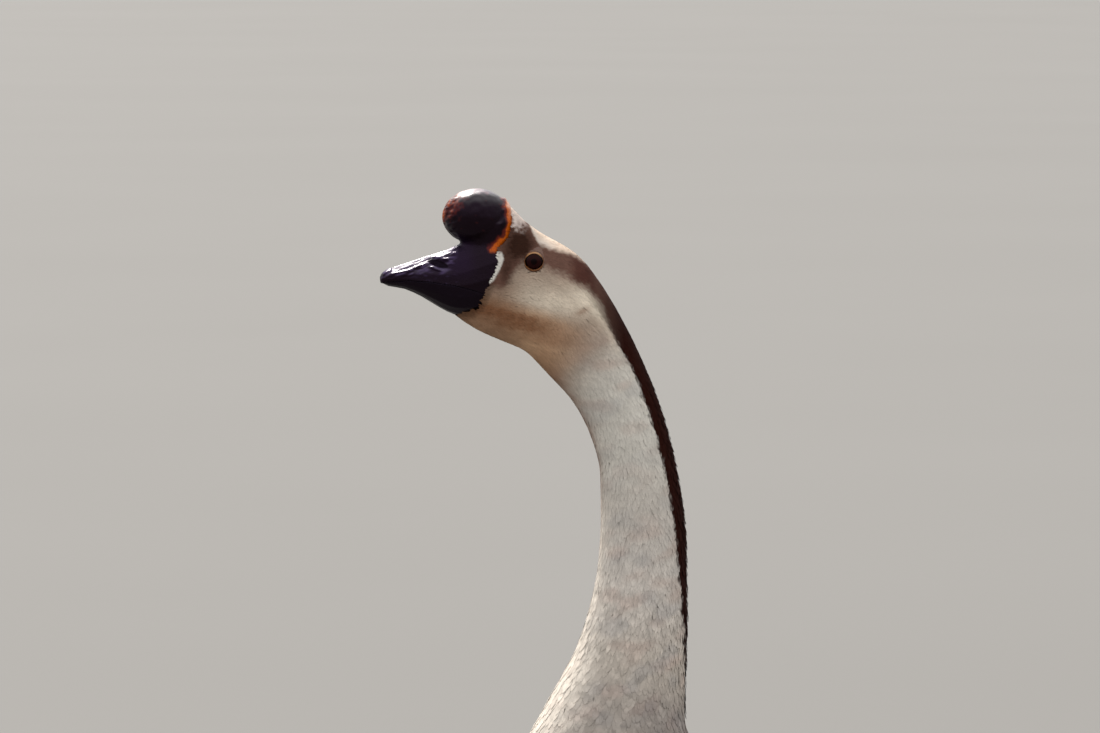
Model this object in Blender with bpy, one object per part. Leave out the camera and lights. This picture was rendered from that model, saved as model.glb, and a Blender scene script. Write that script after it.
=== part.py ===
"""Life-size still model of a brown Chinese goose: an adult gander standing alert, head turned to its right.

The bird faces -X, its left side is -Y, and it stands on Z = 0. Head, neck, trunk and tail are one line of rings,
each hung between a point of the back and a point of the underside, and parted at a few rings. Bill, knob, eyes,
wings, legs and claws are solids of their own. Units are metres.
"""

from math import cos, pi, radians, sin

import bpy
from mathutils import Matrix, Vector

GAP = 0.0003  # clearance between two pieces that touch
ROOM = 0.0011  # clearance round the trunk, whose facets don't run alongside those of the wings and thighs
HEAD_TURN = radians(-22)  # how far the head looks to the bird's right
TURN_START_Z = 0.435  # the neck begins to twist here, above the shoulders
TURN_END_Z = 0.560  # and has made its whole turn here

RING_POINTS = 22
STEPS_PER_STATION = 2
CUT = 0.012  # half of the gap between two lengths of the body line, in stations
HEAD_END = 6  # the station at the nape that ends the head

# Rings of the body line: (back x, back z, underside x, underside z, half-width, narrowing of the upper half).
CHIN = (-0.1005, 0.7640, -0.1275, 0.6930, 0.0135, 0.10)
FACE = (-0.0898, 0.7692, -0.1135, 0.6840, 0.0175, 0.13)
LORE = (-0.0796, 0.7588, -0.1020, 0.6787, 0.0200, 0.14)
EYES = (-0.0660, 0.7492, -0.0920, 0.6746, 0.0218, 0.14)
EAR = (-0.0510, 0.7410, -0.0830, 0.6710, 0.0236, 0.12)
OCCIPUT = (-0.0367, 0.7285, -0.0762, 0.6664, 0.0246, 0.08)
NAPE = (-0.0163, 0.6977, -0.0639, 0.6528, 0.0248, 0.04)
NECK_1 = (0.0000, 0.6644, -0.0490, 0.6372, 0.0243, 0.0)
NECK_2 = (0.0113, 0.6362, -0.0374, 0.6168, 0.0238, 0.0)
NECK_3 = (0.0202, 0.6059, -0.0299, 0.5930, 0.0240, 0.0)
NECK_4 = (0.0262, 0.5753, -0.0286, 0.5692, 0.0256, 0.0)
NECK_5 = (0.0299, 0.5470, -0.0288, 0.5445, 0.0274, 0.0)
NECK_6 = (0.0308, 0.5160, -0.0315, 0.5180, 0.0296, 0.0)
NECK_7 = (0.0312, 0.4840, -0.0370, 0.4930, 0.0322, 0.0)
NECK_8 = (0.0300, 0.4500, -0.0470, 0.4660, 0.0365, 0.0)
NECK_9 = (0.0290, 0.4210, -0.0660, 0.4340, 0.0440, 0.0)
SHOULDER_1 = (0.0330, 0.4020, -0.0850, 0.4000, 0.0545, 0.02)
SHOULDER_2 = (0.0430, 0.3880, -0.1000, 0.3620, 0.0670, 0.03)
BREAST_1 = (0.0590, 0.3770, -0.1065, 0.3220, 0.0785, 0.04)
BREAST_2 = (0.0810, 0.3665, -0.1015, 0.2810, 0.0870, 0.05)
BODY_1 = (0.1080, 0.3545, -0.0830, 0.2420, 0.0930, 0.05)
BODY_2 = (0.1380, 0.3410, -0.0520, 0.2090, 0.0960, 0.05)
BODY_3 = (0.1680, 0.3260, -0.0120, 0.1820, 0.0970, 0.05)
BODY_4 = (0.1970, 0.3100, 0.0400, 0.1620, 0.0940, 0.05)
BELLY_1 = (0.2260, 0.2930, 0.1000, 0.1530, 0.0860, 0.04)
BELLY_2 = (0.2540, 0.2760, 0.1600, 0.1580, 0.0730, 0.02)
VENT_1 = (0.2790, 0.2610, 0.2120, 0.1740, 0.0590, 0.0)
VENT_2 = (0.3000, 0.2500, 0.2530, 0.1920, 0.0460, 0.0)
RUMP = (0.3170, 0.2430, 0.2880, 0.2080, 0.0380, 0.0)
TAIL_1 = (0.3360, 0.2400, 0.3200, 0.2150, 0.0440, 0.0)
TAIL_2 = (0.3620, 0.2392, 0.3540, 0.2235, 0.0530, 0.0)
TAIL_3 = (0.3880, 0.2390, 0.3850, 0.2310, 0.0580, 0.0)
TAIL_4 = (0.4040, 0.2385, 0.4030, 0.2335, 0.0530, 0.0)
TAIL_5 = (0.4120, 0.2378, 0.4115, 0.2352, 0.0380, 0.0)

BODY_LINE = [
    CHIN, FACE, LORE, EYES, EAR, OCCIPUT, NAPE, NECK_1, NECK_2, NECK_3, NECK_4, NECK_5, NECK_6, NECK_7,
    NECK_8, NECK_9, SHOULDER_1, SHOULDER_2, BREAST_1, BREAST_2, BODY_1, BODY_2, BODY_3, BODY_4, BELLY_1,
    BELLY_2, VENT_1, VENT_2, RUMP, TAIL_1, TAIL_2, TAIL_3, TAIL_4, TAIL_5,
]

# Rings of the closed bill, from the tip of its nail back into the head.
BILL_LINE = [
    (-0.1782, 0.7215, -0.1776, 0.7168, 0.0030, 0.0),
    (-0.1735, 0.7250, -0.1722, 0.7138, 0.0066, 0.05),
    (-0.1610, 0.7292, -0.1612, 0.7118, 0.0088, 0.12),
    (-0.1475, 0.7338, -0.1496, 0.7066, 0.0106, 0.18),
    (-0.1326, 0.7385, -0.1374, 0.6992, 0.0130, 0.22),
    (-0.1225, 0.7435, -0.1272, 0.6944, 0.0147, 0.24),
    (-0.1100, 0.7500, -0.1160, 0.6935, 0.0160, 0.24),
    (-0.0960, 0.7560, -0.1050, 0.6955, 0.0168, 0.20),
    (-0.0840, 0.7560, -0.0930, 0.7000, 0.0165, 0.14),
]

# Where the feathers of the face meet the bill and the knob, from the forehead down and forward under the chin.
FEATHER_LINE = [
    (-0.0900, 0.7850), (-0.0900, 0.7700), (-0.0868, 0.7600), (-0.0868, 0.7500), (-0.0915, 0.7435),
    (-0.0980, 0.7390), (-0.0968, 0.7330), (-0.0978, 0.7270), (-0.1010, 0.7200), (-0.1047, 0.7120),
    (-0.1081, 0.7032), (-0.1112, 0.6972), (-0.1190, 0.6952), (-0.1262, 0.6936), (-0.1330, 0.6850),
]
# The line between upper and lower bill, from in front of the tip back into the cheek.
GAPE_LINE = [
    (-0.1900, 0.7165), (-0.1714, 0.7168), (-0.1578, 0.7178), (-0.1428, 0.7170), (-0.1244, 0.7143),
    (-0.1122, 0.7110), (-0.1020, 0.7072), (-0.0700, 0.6950),
]

KNOB_CENTRE = (-0.1128, 0.0, 0.7612)
KNOB_RADII = (0.0228, 0.0180, 0.0190)
COLLAR_CENTRE = (-0.0996, 0.0, 0.7567)  # the swelling that carries the knob down on to the forehead
COLLAR_RADII = (0.0135, 0.0155, 0.0195)
EYE_X, EYE_Z = -0.0734, 0.7317
EYE_RADIUS = 0.0078
EYE_DEPTH = 0.0052  # the eyeball's centre lies this far inside the cheek

# Folded wing, as rings of the body line: (place on the line, upper edge, lower edge, thickness).
# Edges are degrees down from the middle of the back, and the place counts stations from the chin.
WING_ROWS = [
    (17.5, 66, 92, 0.0050), (18.0, 50, 106, 0.0085), (19.0, 38, 113, 0.0120), (20.0, 27, 115, 0.0140),
    (21.5, 19, 114, 0.0150), (23.0, 14, 112, 0.0150), (24.5, 11, 107, 0.0140), (26.0, 9, 98, 0.0120),
    (27.5, 8, 82, 0.0095), (28.5, 8, 62, 0.0075), (29.5, 9, 48, 0.0062), (30.5, 12, 40, 0.0050),
    (31.0, 20, 34, 0.0036),
]
WRIST = 27.5  # here the folded wing ends and its long flight feathers run on
WING_COLUMNS = 9

LEG_Y = 0.0510
# Rings of the thigh from inside the belly to the hock: (x, y, z, half-length, half-width).
THIGH = [
    (0.0850, 0.0480, 0.2350, 0.0420, 0.0270), (0.0940, 0.0530, 0.2020, 0.0440, 0.0310),
    (0.1040, 0.0560, 0.1740, 0.0385, 0.0305), (0.1170, 0.0550, 0.1500, 0.0265, 0.0235),
    (0.1290, 0.0522, 0.1310, 0.0160, 0.0150), (0.1360, LEG_Y, 0.1180, 0.0115, 0.0105),
]
# Rings of the bare shank from the hock to the ankle.
SHANK = [
    (0.1363, LEG_Y, 0.1176, 0.0098, 0.0082), (0.1360, LEG_Y, 0.1070, 0.0098, 0.0078),
    (0.1325, LEG_Y, 0.0930, 0.0070, 0.0056), (0.1275, LEG_Y, 0.0740, 0.0062, 0.0048),
    (0.1225, LEG_Y, 0.0550, 0.0062, 0.0048), (0.1180, LEG_Y, 0.0380, 0.0072, 0.0058),
    (0.1155, LEG_Y, 0.0263, 0.0082, 0.0070),
]
ANKLE = [
    (0.1154, LEG_Y, 0.0260, 0.0082, 0.0070), (0.1130, LEG_Y, 0.0160, 0.0098, 0.0088),
    (0.1100, LEG_Y, 0.0060, 0.0112, 0.0100), (0.1095, LEG_Y, -0.0020, 0.0100, 0.0090),
]
# Front toes: (name, degrees outwards from straight ahead, length to the claw, half-thickness at the root).
TOES = [("inner", -27, 0.0590, 0.0042), ("middle", 2, 0.0740, 0.0046), ("outer", 29, 0.0690, 0.0043)]
TOE_ROOT = Vector((0.1090, LEG_Y, 0.0040))
TOE_END = 0.68  # a toe's thickness at its claw, as a share of its thickness at the root
KNUCKLE_SWELL = 0.16
WEB_BOTTOM, WEB_TOP = 0.0010, 0.0034
WEB_REACH = 0.93  # the web leaves each toe this far along it
WEB_HOLLOW = 0.80  # and is drawn back to this share of their length half-way between two toes
HIND_TOE = [
    (0.1210, LEG_Y - 0.0030, 0.0205, 0.0036, 0.0034), (0.1270, LEG_Y - 0.0060, 0.0160, 0.0034, 0.0032),
    (0.1320, LEG_Y - 0.0085, 0.0115, 0.0028, 0.0027),
]
CLAW_LENGTH = 0.0105
FOOT_STAGGER = 0.010  # the left foot stands this far ahead, the right one as far behind

BROWN_PLUME = ("plumage_brown", (0.20, 0.15, 0.115), 0.85)
PALE_PLUME = ("plumage_pale", (0.50, 0.44, 0.37), 0.85)
WHITE_PLUME = ("plumage_white", (0.72, 0.70, 0.66), 0.85)
BLACK_HORN = ("bill_black", (0.018, 0.016, 0.020), 0.32)
DARK_EYE = ("eye_dark", (0.030, 0.014, 0.008), 0.06)
ORANGE_SCUTE = ("leg_orange", (0.62, 0.22, 0.05), 0.50)
DARK_CLAW = ("claw_dark", (0.050, 0.040, 0.032), 0.40)


def clear_scene():
    for obj in list(bpy.data.objects):
        bpy.data.objects.remove(obj)


def material(name, colour, roughness):
    """A plain finish, made once for each name."""
    found = bpy.data.materials.get(name)
    if found:
        return found
    made = bpy.data.materials.new(name)
    made.use_nodes = True
    shader = made.node_tree.nodes["Principled BSDF"]
    shader.inputs["Base Color"].default_value = (*colour, 1.0)
    shader.inputs["Roughness"].default_value = roughness
    shader.inputs["Metallic"].default_value = 0.0
    return made


def mesh_object(name, points, faces, finish, parent):
    mesh = bpy.data.meshes.new(name)
    mesh.from_pydata([tuple(p) for p in points], [], faces)
    mesh.materials.append(material(*finish))
    mesh.shade_smooth()
    mesh.set_sharp_from_angle(angle=radians(50))
    obj = bpy.data.objects.new(name, mesh)
    bpy.context.scene.collection.objects.link(obj)
    obj.parent = parent
    return obj


def helper(obj):
    """Marks a cutter or a piece that is only joined into another."""
    obj.hide_render = True
    obj.display_type = "WIRE"
    return obj


def boolean(obj, other, operation):
    modifier = obj.modifiers.new(f"{operation.lower()} {other.name}", "BOOLEAN")
    modifier.operation = operation
    modifier.object = other
    modifier.solver = "EXACT"


def between(values, place):
    """A smooth curve through the rows of values, read at a place counted in rows (Catmull-Rom)."""
    last = len(values) - 1
    i = min(max(int(place), 0), last - 1)
    t = place - i
    a, b, c, d = (values[min(max(k, 0), last)] for k in (i - 1, i, i + 1, i + 2))
    return [
        0.5 * (2 * q + (r - p) * t + (2 * p - 5 * q + 4 * r - s) * t**2 + (3 * q - p - 3 * r + s) * t**3)
        for p, q, r, s in zip(a, b, c, d)
    ]


def station_point(station, angle, grow=0.0):
    """A point of one ring. The angle runs from the back (0) down the bird's left side to the underside (pi)."""
    back_x, back_z, under_x, under_z, half_width, narrowing = station
    back, under = Vector((back_x, 0, back_z)), Vector((under_x, 0, under_z))
    up = back - under
    half_height = up.length / 2 + grow
    width = (half_width + grow) * (1 - narrowing * cos(angle))
    return (back + under) / 2 + up.normalized() * (half_height * cos(angle)) + Vector((0, -width * sin(angle), 0))


def turned(point):
    """The neck's twist: the upper neck and the head turn about the upright axis through the neck."""
    share = min(max((point.z - TURN_START_Z) / (TURN_END_Z - TURN_START_Z), 0.0), 1.0)
    share = share * share * (3 - 2 * share)
    return Matrix.Rotation(HEAD_TURN * share, 3, "Z") @ point


def bridged(rings):
    """Faces of a closed skin over rings of equal size, with a flat cap on the first and the last."""
    size = len(rings[0])
    faces = [list(range(size))[::-1], [(len(rings) - 1) * size + i for i in range(size)]]
    for r in range(len(rings) - 1):
        for i in range(size):
            j = (i + 1) % size
            faces.append([r * size + i, r * size + j, (r + 1) * size + j, (r + 1) * size + i])
    return [p for ring in rings for p in ring], faces


def outward(points, faces):
    """The same faces, turned round if they enclose a negative volume."""
    volume = 0.0
    for face in faces:
        for i in range(1, len(face) - 1):
            a, b, c = (points[face[k]] for k in (0, i, i + 1))
            volume += a.dot(b.cross(c))
    return [face[::-1] for face in faces] if volume < 0 else faces


def solid(name, rings, finish, parent):
    points, faces = bridged(rings)
    return mesh_object(name, points, outward(points, faces), finish, parent)


def ring_places(start, end, offset=0.0):
    """Places of the rings from start to end: the ends, and every half station plus the offset between them."""
    first, last = int(start * STEPS_PER_STATION), int(end * STEPS_PER_STATION)
    inner = [k / STEPS_PER_STATION + offset for k in range(first, last + 1)]
    return [start, *[p for p in inner if start + 0.1 < p < end - 0.1], end]


def line_rings(line, start, end, grow=0.0, twist=True, count=RING_POINTS, offset=0.0):
    """Rings of a body line between two places on it."""
    rings = []
    for place in ring_places(start, end, offset):
        station = between(line, place)
        ring = [station_point(station, 2 * pi * k / count, grow) for k in range(count)]
        rings.append([turned(p) for p in ring] if twist else ring)
    return rings


def prism(name, outline, half_width, parent):
    """A cutter: an outline in the bird's middle plane, drawn out to both sides."""
    rings = [[Vector((x, side * half_width, z)) for x, z in outline] for side in (-1, 1)]
    points, faces = bridged(rings)
    return helper(mesh_object(name, points, outward(points, faces), DARK_CLAW, parent))


def ellipsoid(name, centre, radii, finish, parent, segments=20, rings=10):
    poles = [Vector(centre) + Vector((0, 0, side * radii[2])) for side in (-1, 1)]
    points, faces = [poles[0]], []
    for r in range(1, rings):
        tilt = pi * r / rings - pi / 2
        for s in range(segments):
            around = 2 * pi * s / segments
            out = Vector((cos(around) * cos(tilt) * radii[0], sin(around) * cos(tilt) * radii[1], sin(tilt) * radii[2]))
            points.append(Vector(centre) + out)
    points.append(poles[1])
    top = len(points) - 1
    for s in range(segments):
        t = (s + 1) % segments
        faces.append([0, 1 + t, 1 + s])
        faces.append([top, top - segments + s, top - segments + t])
        for r in range(rings - 2):
            a = 1 + r * segments
            faces.append([a + s, a + t, a + segments + t, a + segments + s])
    return mesh_object(name, points, outward(points, faces), finish, parent)


def limb_rings(stations, count=10, level_ends=True):
    """Rings of a limb, each square to the way the limb runs there. The first and the last may lie level."""
    centres = [Vector(s[:3]) for s in stations]
    rings = []
    for k, station in enumerate(stations):
        ahead, behind = centres[min(k + 1, len(centres) - 1)], centres[max(k - 1, 0)]
        along = (ahead - behind).normalized()
        if level_ends and k in (0, len(centres) - 1):
            along = Vector((0, 0, -1))
        side = Vector((0, 1, 0))
        front = along.cross(side).normalized()
        side = front.cross(along)
        rings.append([
            centres[k] + front * (station[3] * cos(2 * pi * i / count)) + side * (station[4] * sin(2 * pi * i / count))
            for i in range(count)
        ])
    return rings


def mirrored(rings, side, shift_x=0.0):
    """Rings made for +Y, placed on the bird's left (-1) or right (+1)."""
    return [[Vector((p.x + shift_x, side * p.y, p.z)) for p in ring] for ring in rings]


def add_body(root):
    """Neck, trunk and tail: lengths of the body line, with a cut at the end of each."""
    for name, start, end, finish in (
        ("neck_upper", HEAD_END, 9, PALE_PLUME), ("neck_middle", 9, 12, PALE_PLUME), ("neck_lower", 12, 15.5, PALE_PLUME),
        ("trunk", 15.5, 28, BROWN_PLUME), ("tail", 28, len(BODY_LINE) - 1, WHITE_PLUME),
    ):
        last = len(BODY_LINE) - 1
        rings = line_rings(BODY_LINE, start + CUT, end if end == last else end - CUT)
        solid(name, rings, finish, root)


def shifted(outline, dx, dz):
    return [(x + dx, z + dz) for x, z in outline]


def add_head(turn):
    """Head, bill, knob and eyes, modelled looking straight ahead under the empty that turns them."""
    front_x, back_x, low_z, high_z = -0.20, -0.02, 0.660, 0.800
    bill_zone = prism(
        "cut_bill_zone", [*FEATHER_LINE, (front_x, FEATHER_LINE[-1][1]), (front_x, high_z), (-0.09, high_z)],
        0.06, turn,
    )
    face_zone = prism(
        "cut_face_zone", [(-0.09, high_z), *shifted(FEATHER_LINE, -GAP, GAP), (-0.133, low_z), (back_x, low_z),
                          (back_x, high_z)], 0.07, turn,
    )
    above_gape = prism(
        "cut_above_gape", [*shifted(GAPE_LINE, 0, -GAP / 2), (GAPE_LINE[-1][0], high_z), (front_x, high_z)], 0.05, turn,
    )
    below_gape = prism(
        "cut_below_gape", [*shifted(GAPE_LINE, 0, GAP / 2), (GAPE_LINE[-1][0], low_z), (front_x, low_z)], 0.05, turn,
    )
    eye_y = eye_centre_y()
    head = solid("head", line_rings(BODY_LINE, 0, HEAD_END - CUT, twist=False), PALE_PLUME, turn)
    boolean(head, bill_zone, "DIFFERENCE")
    for side, name in ((-1, "left"), (1, "right")):
        centre = (EYE_X, side * eye_y, EYE_Z)
        ellipsoid(f"eye_{name}", centre, (EYE_RADIUS,) * 3, DARK_EYE, turn, 12, 8)
        socket = ellipsoid(f"cut_socket_{name}", centre, (EYE_RADIUS + GAP,) * 3, DARK_EYE, turn, 12, 8)
        boolean(head, helper(socket), "DIFFERENCE")

    knob = ellipsoid("knob", KNOB_CENTRE, KNOB_RADII, BLACK_HORN, turn)
    boolean(knob, helper(ellipsoid("cut_collar", COLLAR_CENTRE, COLLAR_RADII, BLACK_HORN, turn, 12, 6)), "UNION")
    boolean(knob, face_zone, "DIFFERENCE")
    knob_seat = ellipsoid("cut_knob_seat", KNOB_CENTRE, [r + GAP for r in KNOB_RADII], BLACK_HORN, turn)
    seat_collar = ellipsoid("cut_seat_collar", COLLAR_CENTRE, [r + GAP for r in COLLAR_RADII], BLACK_HORN, turn, 12, 6)
    boolean(knob_seat, helper(seat_collar), "UNION")
    bill = line_rings(BILL_LINE, 0, len(BILL_LINE) - 1, twist=False, count=18)
    upper = solid("bill_upper", bill, BLACK_HORN, turn)
    for cutter in (face_zone, below_gape, helper(knob_seat)):
        boolean(upper, cutter, "DIFFERENCE")
    lower = solid("bill_lower", bill, BLACK_HORN, turn)
    for cutter in (face_zone, above_gape):
        boolean(lower, cutter, "DIFFERENCE")


def eye_centre_y():
    """Half the distance between the eyeballs' centres, from the width of the head at the eyes."""
    station = between(BODY_LINE, BODY_LINE.index(EYES))
    back, under = Vector((station[0], 0, station[1])), Vector((station[2], 0, station[3]))
    share = (Vector((EYE_X, 0, EYE_Z)) - under).dot(back - under) / (back - under).length_squared
    cos_angle = 2 * share - 1
    return station[4] * (1 - station[5] * cos_angle) * (1 - cos_angle**2) ** 0.5 - EYE_DEPTH


def wing_row(place):
    """Upper edge, lower edge and thickness of the folded wing at a place on the body line."""
    i = sum(row[0] <= place for row in WING_ROWS[1:-1])
    (first, *_), (second, *_) = WING_ROWS[i : i + 2]
    return between(WING_ROWS, i + (place - first) / (second - first))[1:]


def wing_rings(start, end, side):
    """Crescents wrapped round the body line: outer points from the upper edge to the lower, inner ones back."""
    rings = []
    for place in ring_places(start, end):
        upper, lower, thickness = wing_row(place)
        station = between(BODY_LINE, place)
        outer, inner = [], []
        for c in range(WING_COLUMNS):
            share = c / (WING_COLUMNS - 1)
            angle = radians(upper + (lower - upper) * share)
            swell = 0.32 + 0.68 * sin(pi * (0.04 + 0.92 * share)) ** 0.7
            outer.append(station_point(station, angle, thickness * swell))
            inner.append(station_point(station, angle, ROOM))
        rings.append([turned(Vector((p.x, -side * p.y, p.z))) for p in outer + inner[::-1]])
    return rings


def add_wings(root):
    """Each folded wing lies against the trunk, and its long flight feathers run on over the tail."""
    for side, name in ((-1, "left"), (1, "right")):
        lengths = (("wing", WING_ROWS[0][0], WRIST - CUT), ("wing_tip", WRIST + CUT, WING_ROWS[-1][0]))
        for label, start, end in lengths:
            solid(f"{label}_{name}", wing_rings(start, end, side), BROWN_PLUME, root)


def toe_rings(angle, length, half_thickness):
    """A toe that runs forward and outward from the root, swollen at its two knuckles."""
    along = Vector((-cos(radians(angle)), sin(radians(angle)), 0))
    side = along.cross(Vector((0, 0, 1)))
    rings = []
    for k in range(8):
        share = k / 7
        size = half_thickness * (1 - (1 - TOE_END) * share) * (1 + KNUCKLE_SWELL * cos(3 * pi * share * 1.34) ** 2)
        centre = TOE_ROOT + along * (length * share)
        centre.z = size * 0.80
        rings.append([
            centre + side * (size * cos(pi * i / 4)) + Vector((0, 0, size * sin(pi * i / 4))) for i in range(8)
        ])
    return rings


def web_rings():
    """The web between the three toes, as a thin plate with a hollow front edge."""
    outline = [(TOE_ROOT.x + 0.004, LEG_Y + 0.004), (TOE_ROOT.x + 0.004, LEG_Y - 0.004)]
    for (_, angle_a, length_a, _), (_, angle_b, length_b, _) in zip(TOES, TOES[1:]):
        for k in range(7):
            share = k / 6
            angle = radians(angle_a + (angle_b - angle_a) * share)
            reach = (length_a + (length_b - length_a) * share) * WEB_REACH
            reach *= 1 - (1 - WEB_HOLLOW) * sin(pi * share)
            point = (TOE_ROOT.x - reach * cos(angle), LEG_Y + reach * sin(angle))
            if point not in outline:
                outline.append(point)
    return [[Vector((x, y, z)) for x, y in outline] for z in (WEB_BOTTOM, WEB_TOP)]


def claw_rings(root, along, half_thickness, droop):
    """A short curved nail that narrows to a blunt point."""
    side = along.cross(Vector((0, 0, 1))).normalized()
    up = side.cross(along)
    rings = []
    for k in range(4):
        share = k / 3
        size = half_thickness * (1 - 0.80 * share**1.3)
        centre = root + along * (CLAW_LENGTH * share) + up * (0.0012 * sin(pi * share) - droop * share**2)
        rings.append([
            centre + side * (0.8 * size * cos(pi * i / 3)) + up * (size * sin(pi * i / 3)) for i in range(6)
        ])
    return rings


def add_leg(root, side, name, trunk_room):
    """Thigh, shank, webbed foot and four claws of one leg."""
    step = side * FOOT_STAGGER
    lean = [(s[0] + step * share, *s[1:]) for s, share in zip(THIGH, (0, 0.1, 0.35, 0.65, 0.9, 1.0))]
    thigh = solid(f"thigh_{name}", mirrored(limb_rings(lean, 16), side), PALE_PLUME, root)
    boolean(thigh, trunk_room, "DIFFERENCE")
    solid(f"shank_{name}", mirrored(limb_rings(SHANK), side, step), ORANGE_SCUTE, root)

    foot = solid(f"foot_{name}", mirrored(limb_rings(ANKLE), side, step), ORANGE_SCUTE, root)
    stock = [("web", web_rings()), ("hind", limb_rings(HIND_TOE, 8, level_ends=False))]
    stock += [(toe, toe_rings(angle, length, thick)) for toe, angle, length, thick in TOES]
    for label, rings in stock:
        piece = helper(solid(f"join_{label}_{name}", mirrored(rings, side, step), ORANGE_SCUTE, root))
        boolean(foot, piece, "UNION")
    below = [[Vector((x, y, z)) for x, y in ((-0.1, -0.3), (0.3, -0.3), (0.3, 0.3), (-0.1, 0.3))] for z in (-0.05, 0)]
    boolean(foot, helper(solid(f"cut_floor_{name}", below, ORANGE_SCUTE, root)), "DIFFERENCE")

    for number, (_, angle, length, thick) in enumerate(TOES, 1):
        along = Vector((-cos(radians(angle)), sin(radians(angle)), 0))
        size = thick * TOE_END * 0.92
        start = TOE_ROOT + along * (length + GAP)
        start.z = thick * TOE_END * 0.95
        rings = mirrored(claw_rings(start, along, size, 0.0012), side, step)
        solid(f"claw_{name}_{number}", rings, DARK_CLAW, root)
    heel, tip = Vector(HIND_TOE[-2][:3]), Vector(HIND_TOE[-1][:3])
    along = (tip - heel).normalized()
    rings = mirrored(claw_rings(tip + along * GAP, along, 0.0024, 0.0), side, step)
    solid(f"claw_{name}_4", rings, DARK_CLAW, root)


def main():
    clear_scene()
    tip_ring = line_rings(BILL_LINE, 0, 1, twist=False)[0]
    tip_x = min((Matrix.Rotation(HEAD_TURN, 3, "Z") @ point).x for point in tip_ring)
    middle_x = (tip_x + TAIL_5[0]) / 2
    root = bpy.data.objects.new("goose", None)
    turn = bpy.data.objects.new("head_turn", None)
    for empty in (root, turn):
        bpy.context.scene.collection.objects.link(empty)
    root.location = (-middle_x, 0, 0)
    turn.parent = root
    turn.rotation_euler = (0, 0, HEAD_TURN)

    add_head(turn)
    add_body(root)
    add_wings(root)
    room = line_rings(BODY_LINE, 17, 28, grow=ROOM, offset=0.25)
    trunk_room = helper(solid("cut_trunk_room", room, BROWN_PLUME, root))
    for side, name in ((-1, "left"), (1, "right")):
        add_leg(root, side, name, trunk_room)


main()
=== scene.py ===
"""Looks of the life-size brown Chinese goose, from its skin and feathers to its bill, knob, eyes and feet.

Units are metres. The bird faces -X, its left side is -Y, and it stands on Z = 0.
"""

import math

import bmesh
import bpy
import numpy as np
from mathutils import Matrix, Vector, noise
from mathutils.bvhtree import BVHTree
from mathutils.kdtree import KDTree


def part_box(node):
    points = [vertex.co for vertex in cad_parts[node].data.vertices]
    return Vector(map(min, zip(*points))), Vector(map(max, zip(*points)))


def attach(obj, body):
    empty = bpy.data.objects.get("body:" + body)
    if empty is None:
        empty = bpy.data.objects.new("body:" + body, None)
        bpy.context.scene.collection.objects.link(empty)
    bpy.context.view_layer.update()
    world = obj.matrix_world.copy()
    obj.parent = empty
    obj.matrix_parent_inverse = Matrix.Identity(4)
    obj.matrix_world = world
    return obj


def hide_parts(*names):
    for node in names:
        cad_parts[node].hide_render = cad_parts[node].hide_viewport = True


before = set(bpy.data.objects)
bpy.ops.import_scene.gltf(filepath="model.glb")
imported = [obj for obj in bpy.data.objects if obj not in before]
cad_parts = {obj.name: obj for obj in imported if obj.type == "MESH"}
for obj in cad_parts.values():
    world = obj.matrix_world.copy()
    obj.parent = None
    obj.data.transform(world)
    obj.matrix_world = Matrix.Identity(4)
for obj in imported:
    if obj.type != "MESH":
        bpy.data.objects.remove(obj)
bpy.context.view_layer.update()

# --- The form ---------------------------------------------------------------------------------------------
# A bird's outline is the outside of its plumage, which is what the solids show. They are melted here into
# one smooth guide surface. Skin and feathers are measured from it, and it is taken away at the end.

SIDES = ("left", "right")
LINE_NODES = ("head", "neck_upper", "neck_middle", "neck_lower", "trunk", "tail")
WING_NODES = tuple(f"{part}_{side}" for part in ("wing", "wing_tip") for side in SIDES)
THIGH_NODES = tuple(f"thigh_{side}" for side in SIDES)
FLESH_NODES = LINE_NODES + WING_NODES + THIGH_NODES
HORN_NODES = ("bill_upper", "bill_lower", "knob", "eye_left", "eye_right")
FORM_VOXEL = 0.0023
FORM_SWELL = 0.0008  # closes the hairline gaps between the solids while they are melted together
FORM_SMOOTHING = 10
WELD_REACH = 1e-5

bpy.ops.object.select_all(action="DESELECT")


def only(obj):
    """Makes this the one selected object."""
    bpy.ops.object.select_all(action="DESELECT")
    obj.select_set(True)
    bpy.context.view_layer.objects.active = obj


def shaped(obj, kind, **settings):
    """Adds a modifier with these settings and applies it."""
    modifier = obj.modifiers.new(kind.title(), kind)
    for key, value in settings.items():
        setattr(modifier, key, value)
    only(obj)
    bpy.ops.object.modifier_apply(modifier=modifier.name)


def placed(name, data):
    """A new object in the scene that holds this mesh, camera or light."""
    obj = bpy.data.objects.new(name, data)
    bpy.context.scene.collection.objects.link(obj)
    return obj


def copied(name, nodes, swell=0.0):
    """A new object with the welded shapes of these CAD nodes, swollen a little if asked."""
    whole = bmesh.new()
    for node in nodes:
        whole.from_mesh(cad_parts[node].data)
    bmesh.ops.remove_doubles(whole, verts=whole.verts, dist=WELD_REACH)
    whole.normal_update()
    for vert in whole.verts:
        vert.co += vert.normal * swell
    mesh = bpy.data.meshes.new(name)
    whole.to_mesh(mesh)
    whole.free()
    return placed(name, mesh)


def points_of(obj):
    found = np.empty(len(obj.data.vertices) * 3)
    obj.data.vertices.foreach_get("co", found)
    return found.reshape(-1, 3)


def normals_of(obj):
    found = np.empty(len(obj.data.vertices) * 3, np.float32)
    obj.data.vertex_normals.foreach_get("vector", found)
    return found.reshape(-1, 3).astype(float)


def move_points(obj, points):
    obj.data.vertices.foreach_set("co", points.astype(np.float32).ravel())
    obj.data.update()


def unit(vectors):
    return vectors / np.maximum(np.linalg.norm(vectors, axis=-1, keepdims=True), 1e-12)


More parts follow.
